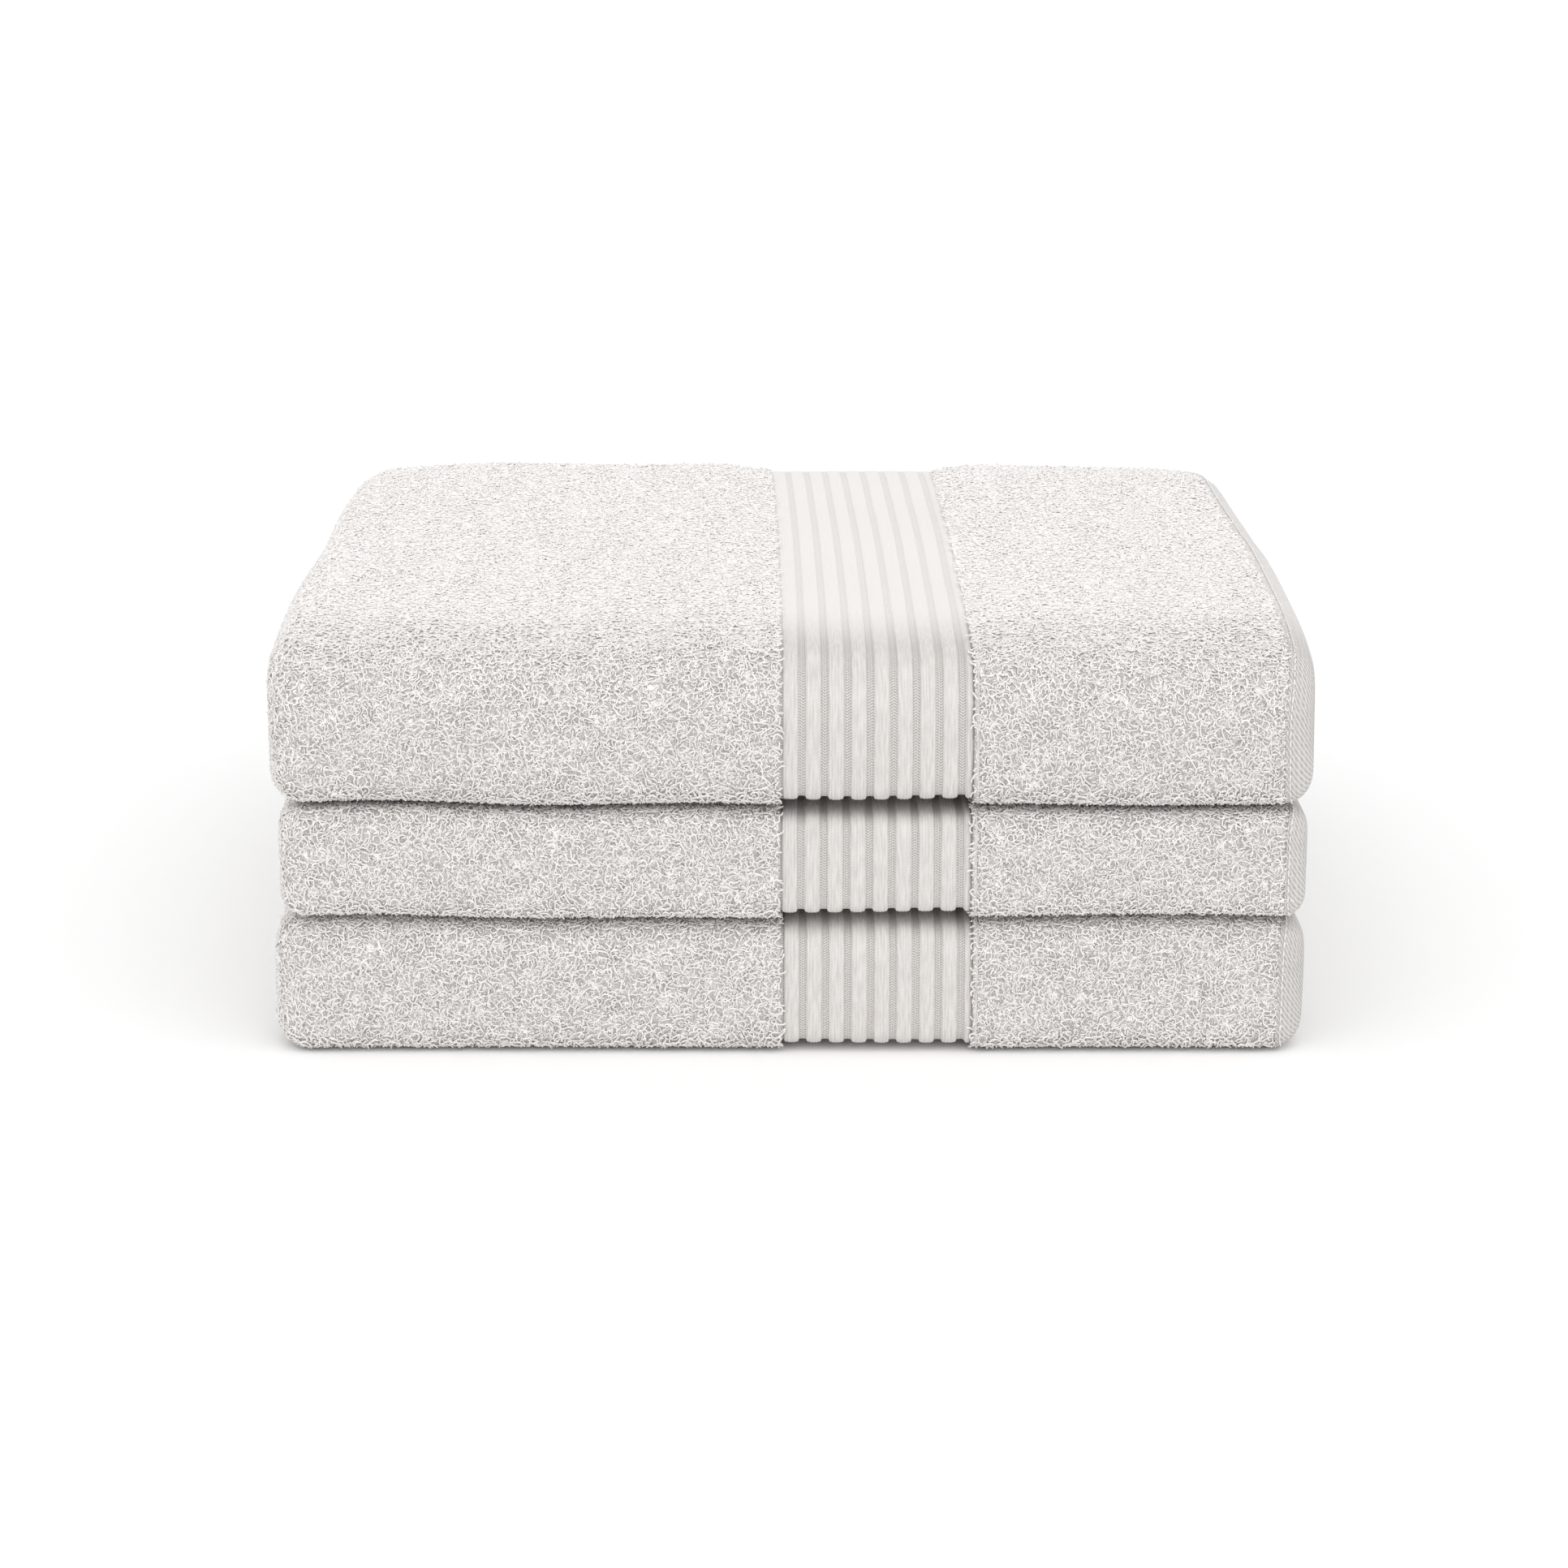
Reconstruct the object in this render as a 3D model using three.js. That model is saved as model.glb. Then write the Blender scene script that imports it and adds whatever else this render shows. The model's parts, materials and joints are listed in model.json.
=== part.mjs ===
// A stack of three terry bath towels, each folded into a packet of eight leaves.
//
// Every towel is folded the same way. Its length is folded in half and in half again, which lays four
// quarters on each other. Its width is then folded in half round the front, which makes a rounded front
// bend with an upper and a lower half behind it. A towel opens like a book, about the crease inside its
// front bend. Frame: millimetres, +Z up, +X to the right, front at -Y, origin at the middle of the base.

import * as THREE from 'three';

// Driving dimensions.
const FOLDED_WIDTH = 350; // side fold to hemmed end
const FOLDED_DEPTH = 340; // front bend to the farthest selvedge
const TOWELS = [
  { name: 'bottom', thickness: 50, extraWidth: 2, extraDepth: 0, shift: 0 },
  { name: 'middle', thickness: 39, extraWidth: -1.5, extraDepth: -3, shift: 1.1 },
  { name: 'top', thickness: 53, extraWidth: 0, extraDepth: -2, shift: 0.6 },
];
const OPENING_ANGLE = 28; // degrees that an upper half lifts about its crease
const CLEAR_ANGLE = 2; // degrees left between a lifted half and the front bend
const GAP = 0.3; // between neighbouring pieces
const SELVEDGE_STEP = 4; // each leaf ends this much behind the leaf outside it
const CREASE_RADIUS = 1.5; // hollow left along the crease by the innermost leaf

// The flat woven band near the hemmed end, and its ribs.
const BAND_TO_END = 114.2; // right edge of the band to the right side of the towel
const BAND_SINK = 0.8; // the pile stands this much above the ribs
const RIB_COUNT = 8;
const RIB_WIDTH = 5.2;
const GROOVE_WIDTH = 2.4;
const RIB_RELIEF = 1.3;
const FIRST_RIB = 0.8; // left edge of the band to the first rib
const EDGE_RIB_WIDTH = 2.7; // narrow smooth rib along the band's right edge
const RIB_PITCH = RIB_WIDTH + GROOVE_WIDTH;
const BAND_WIDTH = FIRST_RIB + RIB_COUNT * RIB_PITCH + EDGE_RIB_WIDTH;

// The twill hem, and the leaves under it.
const HEM_START = 20; // degrees round the rolled edge where the hem's seam lies
const HEM_END = 88; // degrees round the rolled edge where the hem ends
const FAR_HEM_WIDTH = 16;

const ARC_SEGMENTS = 4;
const BEND_SEGMENTS = 10;
const SIDE_FOLD_END = 225; // degrees round the side fold kept inside the front bend

const FINISHES = {
  terry: { color: 0xe2deda, roughness: 0.97, metalness: 0 },
  band: { color: 0xe9e5e1, roughness: 0.85, metalness: 0 },
  hem: { color: 0xe0dcd8, roughness: 0.9, metalness: 0 },
};

const radians = THREE.MathUtils.degToRad;

// Sizes worked out for one towel. Profiles are drawn in x and r, where r is the distance from the
// crease plane. Leaf 0 lies on the crease plane and leaf 3 is the outside of the towel.
function layoutOf({ thickness, extraWidth, extraDepth }) {
  const half = thickness / 2;
  const pitch = (half + GAP / 2) / 4;
  const side = (FOLDED_WIDTH + extraWidth) / 2;
  const curl = 2 * pitch - GAP / 2;
  const bandRight = side - BAND_TO_END;
  return {
    half,
    pitch,
    curl,
    leftCentre: curl - side,
    rightCentre: side - curl,
    bandRight,
    bandLeft: bandRight - BAND_WIDTH,
    axisFromBack: FOLDED_DEPTH + extraDepth - half,
    low: (leaf) => leaf * pitch + GAP / 2,
    high: (leaf) => (leaf + 1) * pitch - GAP / 2,
  };
}

// Terry from the band to the side fold, and round that fold as far as foldEnd degrees.
function mainTerryProfile(t, foldEnd) {
  const inner = t.pitch + GAP / 2;
  const shape = new THREE.Shape();
  shape.moveTo(t.bandLeft - GAP, t.low(3));
  shape.lineTo(t.bandLeft - GAP, t.high(3));
  shape.lineTo(t.leftCentre, t.high(3));
  shape.absarc(t.leftCentre, 2 * t.pitch, t.curl, radians(90), radians(foldEnd), false);
  shape.lineTo(
    t.leftCentre + inner * Math.cos(radians(foldEnd)),
    2 * t.pitch + inner * Math.sin(radians(foldEnd)),
  );
  shape.absarc(t.leftCentre, 2 * t.pitch, inner, radians(foldEnd), radians(90), true);
  return shape;
}

// The woven band, with its ribs on the outside.
function bandProfile(t) {
  const ribTop = t.high(3) - BAND_SINK;
  const ground = ribTop - RIB_RELIEF;
  const shape = new THREE.Shape();
  shape.moveTo(t.bandLeft, t.low(3));
  shape.lineTo(t.bandRight, t.low(3));
  shape.lineTo(t.bandRight, ribTop);
  shape.lineTo(t.bandRight - EDGE_RIB_WIDTH, ribTop);
  shape.lineTo(t.bandRight - EDGE_RIB_WIDTH, ground);
  for (let rib = RIB_COUNT - 1; rib >= 0; rib -= 1) {
    const left = t.bandLeft + FIRST_RIB + rib * RIB_PITCH;
    shape.lineTo(left + RIB_WIDTH, ground);
    shape.lineTo(left + RIB_WIDTH, ribTop);
    shape.lineTo(left, ribTop);
    shape.lineTo(left, ground);
  }
  shape.lineTo(t.bandLeft, ground);
  return shape;
}

// Part of the rolled right edge, between two angles measured from the top of the roll.
function rollInto(shape, t, from, to) {
  const inner = t.pitch + GAP / 2;
  const start = radians(90 - from);
  const end = radians(90 - to);
  shape.absarc(t.rightCentre, 2 * t.pitch, t.curl, start, end, true);
  shape.lineTo(t.rightCentre + inner * Math.cos(end), 2 * t.pitch + inner * Math.sin(end));
  shape.absarc(t.rightCentre, 2 * t.pitch, inner, end, start, false);
}

// Terry between the band and the hem.
function endTerryProfile(t) {
  const gapAngle = THREE.MathUtils.radToDeg(GAP / t.curl);
  const shape = new THREE.Shape();
  shape.moveTo(t.bandRight + GAP, t.low(3));
  shape.lineTo(t.bandRight + GAP, t.high(3));
  shape.lineTo(t.rightCentre, t.high(3));
  rollInto(shape, t, 0, HEM_START - 2 * gapAngle);
  return shape;
}

// The hem, rolled over the right side.
function endHemProfile(t) {
  const shape = new THREE.Shape();
  const start = radians(90 - HEM_START);
  shape.moveTo(t.rightCentre + t.curl * Math.cos(start), 2 * t.pitch + t.curl * Math.sin(start));
  rollInto(shape, t, HEM_START, HEM_END);
  return shape;
}

// The quarter at the towel's far end, with the fold that joins it to the leaf inside it.
function farTerryProfile(t) {
  const right = t.rightCentre - FAR_HEM_WIDTH - GAP;
  const shape = new THREE.Shape();
  shape.moveTo(right, t.low(2));
  shape.lineTo(right, t.high(2));
  shape.lineTo(t.leftCentre, t.high(2));
  shape.absarc(t.leftCentre, 2 * t.pitch, t.pitch - GAP / 2, radians(90), radians(270), false);
  shape.lineTo(t.leftCentre, t.high(1));
  shape.absarc(t.leftCentre, 2 * t.pitch, GAP / 2, radians(270), radians(90), true);
  return shape;
}

// The hem of the far end, hidden under the rolled edge.
function farHemProfile(t) {
  const left = t.rightCentre - FAR_HEM_WIDTH;
  const shape = new THREE.Shape();
  shape.moveTo(left, t.low(2));
  shape.lineTo(t.rightCentre, t.low(2));
  shape.lineTo(t.rightCentre, t.high(2));
  shape.lineTo(left, t.high(2));
  return shape;
}

// The two middle quarters, joined by the first fold at the right.
function innerQuartersProfile(t) {
  const left = t.leftCentre + GAP;
  const shape = new THREE.Shape();
  shape.moveTo(left, t.low(0));
  shape.lineTo(t.rightCentre, t.low(0));
  shape.absarc(t.rightCentre, t.pitch, t.pitch - GAP / 2, radians(-90), radians(90), false);
  shape.lineTo(left, t.high(1));
  shape.lineTo(left, t.low(1));
  shape.lineTo(t.rightCentre, t.low(1));
  shape.absarc(t.rightCentre, t.pitch, GAP / 2, radians(90), radians(-90), true);
  shape.lineTo(left, t.high(0));
  return shape;
}

// The three inner leaves where they pass round the front bend, as one body.
function coreProfile(t) {
  const left = t.leftCentre + GAP;
  const shape = new THREE.Shape();
  shape.moveTo(left, CREASE_RADIUS);
  shape.lineTo(t.rightCentre, CREASE_RADIUS);
  shape.absarc(t.rightCentre, t.pitch, t.pitch - CREASE_RADIUS, radians(-90), radians(0), false);
  shape.lineTo(t.rightCentre + t.pitch - CREASE_RADIUS, t.high(1));
  shape.lineTo(t.rightCentre, t.high(1));
  shape.lineTo(t.rightCentre, t.high(2));
  shape.lineTo(t.leftCentre, t.high(2));
  shape.absarc(t.leftCentre, 2 * t.pitch, t.pitch - GAP / 2, radians(90), radians(270), false);
  shape.lineTo(left, t.low(1));
  return shape;
}

// Extrudes a profile and lays it along a path, which turns (x, r, share of the path) into a place.
function alongPath(profile, steps, place) {
  const geometry = new THREE.ExtrudeGeometry(profile, {
    depth: 1,
    steps,
    bevelEnabled: false,
    curveSegments: ARC_SEGMENTS,
  });
  const positions = geometry.getAttribute('position');
  for (let i = 0; i < positions.count; i += 1) {
    const [y, z] = place(positions.getY(i), positions.getZ(i));
    positions.setXYZ(i, positions.getX(i), y, z);
  }
  geometry.computeVertexNormals();
  return geometry;
}

// The upper half runs from the selvedge forwards to the crease line.
function upperHalf(profile, back) {
  return alongPath(profile, 1, (r, share) => [back + share * (GAP - back), r]);
}

// The lower half runs from the crease line back to the selvedge.
function lowerHalf(profile, back) {
  return alongPath(profile, 1, (r, share) => [GAP + share * (back - GAP), -r]);
}

// The front bend starts below the swing of the upper half and ends on the crease line.
function frontBend(profile) {
  const start = radians(90 - OPENING_ANGLE - CLEAR_ANGLE);
  const end = radians(-90);
  return alongPath(profile, BEND_SEGMENTS, (r, share) => {
    const angle = start + share * (end - start);
    return [-r * Math.cos(angle), r * Math.sin(angle)];
  });
}

function pieceOf(name, geometry, finish) {
  const mesh = new THREE.Mesh(geometry, new THREE.MeshStandardMaterial(FINISHES[finish]));
  mesh.name = name;
  return mesh;
}

// The zones of one half, from the outside in. Leaf says which leaf a zone ends with at the back.
const HALF_ZONES = [
  { zone: 'main_terry', finish: 'terry', leaf: 3, profile: (t) => mainTerryProfile(t, 270) },
  { zone: 'woven_band', finish: 'band', leaf: 3, profile: bandProfile },
  { zone: 'end_terry', finish: 'terry', leaf: 3, profile: endTerryProfile },
  { zone: 'end_hem', finish: 'hem', leaf: 3, profile: endHemProfile },
  { zone: 'far_terry', finish: 'terry', leaf: 2, profile: farTerryProfile },
  { zone: 'far_hem', finish: 'hem', leaf: 2, profile: farHemProfile },
  { zone: 'inner_quarters', finish: 'terry', leaf: 0, profile: innerQuartersProfile },
];

// The zones of the front bend.
const BEND_ZONES = [
  { zone: 'main_terry', finish: 'terry', profile: (t) => mainTerryProfile(t, SIDE_FOLD_END) },
  { zone: 'woven_band', finish: 'band', profile: bandProfile },
  { zone: 'end_terry', finish: 'terry', profile: endTerryProfile },
  { zone: 'end_hem', finish: 'hem', profile: endHemProfile },
  { zone: 'core', finish: 'terry', profile: coreProfile },
];

// One towel, with its crease line on the X axis.
function towelGroup(towel) {
  const layout = layoutOf(towel);
  const group = new THREE.Group();
  for (const { zone, finish, leaf, profile } of HALF_ZONES) {
    const back = layout.axisFromBack - leaf * SELVEDGE_STEP;
    group.add(pieceOf(`${towel.name}_upper_${zone}`, upperHalf(profile(layout), back), finish));
    group.add(pieceOf(`${towel.name}_lower_${zone}`, lowerHalf(profile(layout), back), finish));
  }
  for (const { zone, finish, profile } of BEND_ZONES) {
    group.add(pieceOf(`${towel.name}_front_${zone}`, frontBend(profile(layout)), finish));
  }
  return group;
}

const stack = new THREE.Group();
let base = 0;
for (const towel of TOWELS) {
  const half = towel.thickness / 2;
  const group = towelGroup(towel);
  group.position.set(towel.shift, half - FOLDED_DEPTH / 2, base + half);
  stack.add(group);
  base += towel.thickness + GAP;
}

export default stack;
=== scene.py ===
"""A stack of three folded terry bath towels, with loop pile, ribbed woven bands and twill hems."""

import json
import logging
import math
from dataclasses import dataclass, field
from enum import Enum
from typing import Any, Optional, Sequence

import bmesh
import bpy
import numpy as np
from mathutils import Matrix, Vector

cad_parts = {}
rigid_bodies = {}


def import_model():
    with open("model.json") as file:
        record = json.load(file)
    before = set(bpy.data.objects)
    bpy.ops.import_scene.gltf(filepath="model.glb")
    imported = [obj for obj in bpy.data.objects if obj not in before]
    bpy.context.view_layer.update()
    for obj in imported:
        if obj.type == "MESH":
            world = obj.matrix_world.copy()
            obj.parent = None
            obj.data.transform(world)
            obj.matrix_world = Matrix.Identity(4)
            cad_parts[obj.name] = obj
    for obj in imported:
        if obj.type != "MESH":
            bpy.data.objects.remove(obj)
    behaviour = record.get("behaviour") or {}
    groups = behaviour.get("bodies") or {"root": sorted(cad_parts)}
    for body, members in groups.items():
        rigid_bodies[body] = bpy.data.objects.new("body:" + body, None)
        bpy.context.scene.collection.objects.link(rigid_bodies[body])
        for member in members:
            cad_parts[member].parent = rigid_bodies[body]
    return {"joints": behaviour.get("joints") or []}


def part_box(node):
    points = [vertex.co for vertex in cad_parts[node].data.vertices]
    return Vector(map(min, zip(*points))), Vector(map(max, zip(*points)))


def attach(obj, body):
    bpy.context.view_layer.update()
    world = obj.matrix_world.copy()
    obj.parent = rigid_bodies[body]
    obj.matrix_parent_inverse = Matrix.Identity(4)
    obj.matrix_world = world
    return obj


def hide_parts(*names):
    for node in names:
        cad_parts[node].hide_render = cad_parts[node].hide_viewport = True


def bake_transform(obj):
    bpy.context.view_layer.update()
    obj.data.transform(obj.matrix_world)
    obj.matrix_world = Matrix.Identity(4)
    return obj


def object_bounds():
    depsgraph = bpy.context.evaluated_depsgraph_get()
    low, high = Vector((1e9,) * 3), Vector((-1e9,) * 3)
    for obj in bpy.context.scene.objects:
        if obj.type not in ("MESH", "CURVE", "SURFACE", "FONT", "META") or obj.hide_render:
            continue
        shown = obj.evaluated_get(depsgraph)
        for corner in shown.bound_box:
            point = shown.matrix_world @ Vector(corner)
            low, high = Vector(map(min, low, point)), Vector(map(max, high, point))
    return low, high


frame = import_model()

CAD_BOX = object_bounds()
MM = 0.001
LEAF_GAP = 0.3 * MM
OUTLINE_STEPS = 60
CURL_STEPS = 61
HEM_COLUMNS = 16
CRISP_EDGE = 75.0
LOG = logging.getLogger("towels")


def ramp(values: np.ndarray, start: float, length: float) -> np.ndarray:
    """Rises from 0 at start to 1 a length further on."""
    return np.clip((values - start) / length, 0, 1)


# ---------------------------------------------------------------- folding

class Part(Enum):
    """The three stretches that a towel's width is folded into, over and back round the front."""

    UPPER = "upper"
    FRONT = "front"
    LOWER = "lower"


@dataclass(frozen=True)
class Shape:
    """How square one towel's bends are, where 2 is round and more is squarer, and its trim.

    upper and lower are the front bend above and below its crease, side is the rolled sides, and
    trim is how far in each side lies from the CAD node's.
    """

    upper: float
    lower: float
    side: float
    trim: float


@dataclass(frozen=True)
class Layout:
    """One towel's places, in metres, read from its CAD nodes."""

    name: str
    shape: Shape
    crease: tuple[float, float, float]
    half: float
    left: float
    right: float
    band_left: float
    band_right: float
    backs: tuple[float, float, float, float]

    @classmethod
    def from_frame(cls, name: str, shape: Shape) -> "Layout":
        """Reads a towel's places.

        Args:
            name: the towel's name, as its CAD nodes begin with it.
            shape: its shape.

        Returns:
            The layout, with one back edge for each leaf from the crease outwards.
        """
        joint = next(j for j in frame["joints"] if j["name"] == f"{name}_open")
        crease = tuple(joint["pos_m"])
        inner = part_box(f"{name}_upper_inner_quarters")[1].y
        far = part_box(f"{name}_upper_far_terry")[1].y
        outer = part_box(f"{name}_upper_main_terry")[1].y
        band_low, band_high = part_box(f"{name}_upper_woven_band")
        return cls(
            name=name,
            shape=shape,
            crease=crease,
            half=crease[2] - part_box(f"{name}_lower_main_terry")[0].z,
            left=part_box(f"{name}_upper_main_terry")[0].x + shape.trim,
            right=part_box(f"{name}_upper_end_hem")[1].x - shape.trim,
            band_left=band_low.x,
            band_right=band_high.x,
            backs=(inner, inner, far, outer),
        )

    @property
    def pitch(self) -> float:
        """Thickness of one leaf with its gap."""
        return (self.half + LEAF_GAP / 2) / 4

    @property
    def left_centre(self) -> float:
        """Where the side folds are centred."""
        return self.left + 2 * self.pitch - LEAF_GAP / 2

    @property
    def right_centre(self) -> float:
        """Where the rolled right edge is centred."""
        return self.right - 2 * self.pitch + LEAF_GAP / 2

    def place(self, part: Part, x: np.ndarray, r: np.ndarray, along: np.ndarray) -> np.ndarray:
        """Folds points of the flat packet round the front bend.

        Args:
            part: which stretch the points are on.
            x: places from left to right.
            r: distances from the crease plane.
            along: Y on a half, or the angle above the crease on the front bend.

        Returns:
            The folded points, as rows of X, Y and Z.
        """
        _, crease_y, crease_z = self.crease
        if part is not Part.FRONT:
            sign = 1.0 if part is Part.UPPER else -1.0
            return np.stack([x, along, crease_z + sign * r], axis=-1)
        power = np.where(along > 0, self.shape.upper, self.shape.lower)
        cosine = np.maximum(np.cos(along), 0.0)
        sine = np.sin(along)
        stretch = (cosine**power + np.abs(sine) ** power) ** (-1 / power)
        y = crease_y - r * stretch * cosine
        return np.stack([x, y, crease_z + r * stretch * sine], axis=-1)

    def roll(self, centre: float, radius: np.ndarray, angle: np.ndarray) -> np.ndarray:
        """Points on a rolled side edge, which is squarer than a circle.

        Args:
            centre: X of the roll's centre, which lies two leaves from the crease.
            radius: distances from the centre, along X or across the leaves.
            angle: angles from the right, anticlockwise.

        Returns:
            Rows of X, distance from the crease plane, and the outward direction's X and R.
        """
        power = self.shape.side
        cosine, sine = np.cos(angle), np.sin(angle)
        stretch = (np.abs(cosine) ** power + np.abs(sine) ** power) ** (-1 / power)
        nx = np.sign(cosine) * np.abs(cosine * stretch) ** (power - 1)
        nr = np.sign(sine) * np.abs(sine * stretch) ** (power - 1)
        size = np.hypot(nx, nr)
        x = centre + radius * stretch * cosine
        r = 2 * self.pitch + radius * stretch * sine
        return np.stack(np.broadcast_arrays(x, r, nx / size, nr / size), axis=-1)

    def outline_length(self, angle: float) -> float:
        """Length along the outside of the front bend, from its top down to an angle.

        Args:
            angle: the angle above the crease.

        Returns:
            The length in metres.
        """
        steps = np.linspace(math.pi / 2, angle, OUTLINE_STEPS)
        outside = np.full(OUTLINE_STEPS, self.half)
        points = self.place(Part.FRONT, np.zeros(OUTLINE_STEPS), outside, steps)
        return float(np.linalg.norm(np.diff(points, axis=0), axis=1).sum())


@dataclass(frozen=True)
class Settling:
    """The soft unevenness of the whole stack, as one smooth shift of every point.

    A span is where a shift starts and the length over which it grows.
    """

    lump: float = 0.26 * MM
    side_lumps: float = 1.1
    side_span: tuple[float, float] = (120.0 * MM, 40.0 * MM)
    front_lumps: float = 0.8
    front_span: tuple[float, float] = (110.0 * MM, 40.0 * MM)
    skew: float = 6.0 * MM
    skew_centre: float = 28.0 * MM
    skew_reach: float = 150.0 * MM
    pressed: tuple[tuple[float, float], ...] = (
        (-0.01, 0.0), (0.0, 0.0), (0.05, -3.5 * MM), (0.089, -4.2 * MM), (0.2, -4.2 * MM),
    )
    bulge: float = 3.6 * MM
    bulge_centre: float = -70.0 * MM
    bulge_reach: float = 90.0 * MM
    taper: float = 5.0 * MM
    taper_span: tuple[float, float] = (20.0 * MM, 150.0 * MM)
    back_rise: float = 2.4 * MM
    rise_span: tuple[float, float] = (-90.0 * MM, 200.0 * MM)
    back_drop: float = 2.6 * MM
    back_reach: float = 60.0 * MM
    back_round: float = 18.0 * MM
    right_share: float = 1.75
    band_dip: float = 2.6 * MM
    band_reach: tuple[float, float] = (31.0 * MM, 20.0 * MM)
    dip_span: tuple[float, float] = (-20.0 * MM, 160.0 * MM)
    corner_drop: float = 4.4 * MM
    front_round: float = 5.0 * MM
    front_reach: float = 16.0 * MM
    floor_fade: float = 18.0 * MM
    waves: tuple[tuple[float, float, float, float], ...] = (
        (31.0, 17.0, 23.0, 0.4),
        (-19.0, 37.0, 41.0, 1.9),
        (53.0, -29.0, 13.0, 3.1),
        (11.0, 61.0, -37.0, 4.6),
        (-67.0, -23.0, 29.0, 5.3),
    )

    def __call__(self, points: np.ndarray) -> np.ndarray:
        """Shifts points as the settled cloth would lie.

        Args:
            points: rows of X, Y and Z.

        Returns:
            The shifted points.
        """
        low, high = (np.array(c) for c in CAD_BOX)
        x, y, z = points[..., 0], points[..., 1], points[..., 2]
        out = points.copy()
        shift = sum(np.sin(a * x + b * y + c * z + d) for a, b, c, d in self.waves)
        sway = sum(np.sin(b * x + c * y + a * z + 2 * d) for a, b, c, d in self.waves)
        out[..., 2] += self.lump * ramp(z, 0, self.floor_fade) * (shift - 0.5)
        out[..., 0] += self.lump * self.side_lumps * sway * ramp(np.abs(x), *self.side_span)
        out[..., 1] += self.lump * self.front_lumps * sway * ramp(-y, *self.front_span)
        back = ramp(y, high[1] - self.back_reach, self.back_reach)
        front = ramp(-y, -(low[1] + self.front_reach), self.front_reach)
        rise = (z / high[2]) ** 2
        out[..., 2] -= self.back_drop * back**2 * rise
        out[..., 2] += self.back_rise * ramp(y, *self.rise_span) * rise
        out[..., 2] += np.interp(z, *np.array(self.pressed).T)
        right = np.where(x > 0, self.right_share, 1.0)
        edge = np.abs(x) / high[0]
        out[..., 2] -= self.corner_drop * right * back**1.5 * edge**5 * rise
        out[..., 2] -= self.band_dip * self._beside_band(x, y) * rise
        inset = self.back_round * self._rounded(back) * right
        inset = inset + self.front_round * self._rounded(front)
        inset = inset + self.taper * right * ramp(y, *self.taper_span) ** 2 * rise
        middle = np.clip(1 - ((y - self.bulge_centre) / self.bulge_reach) ** 2, 0, 1)
        inset = inset - self.bulge * middle * rise
        out[..., 0] -= np.sign(x) * inset * edge**8
        depth = ramp(y, low[1], high[1] - low[1])
        near = np.clip(1 - np.abs(x - self.skew_centre) / self.skew_reach, 0, 1)
        out[..., 0] -= self.skew * depth**2 * near * np.clip(z / high[2], 0, 1)
        return out

    @staticmethod
    def _rounded(share: np.ndarray) -> np.ndarray:
        """Falls away like a quarter circle, from 0 to just under 1."""
        return 1 - np.sqrt(1 - 0.98 * share**2)

    def _beside_band(self, x: np.ndarray, y: np.ndarray) -> np.ndarray:
        """How much the thin band lowers the cloth at a place, from 0 to 1."""
        away = ramp(np.abs(x - self.skew_centre), *self.band_reach)
        return (1 - away * away * (3 - 2 * away)) * ramp(y, *self.dip_span) ** 1.5


SETTLE = Settling()


# ---------------------------------------------------------------- leaf path

class Zone(Enum):
    """What the face side of the cloth is at a point of the leaf path."""

    HEM = 0
    END_TERRY = 1
    BAND = 2
    MAIN_TERRY = 3
    CREASE_FACE = 4
    FIRST_FOLD = 5
    HIDDEN = 6


PILED = (Zone.END_TERRY, Zone.MAIN_TERRY, Zone.FIRST_FOLD)


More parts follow.
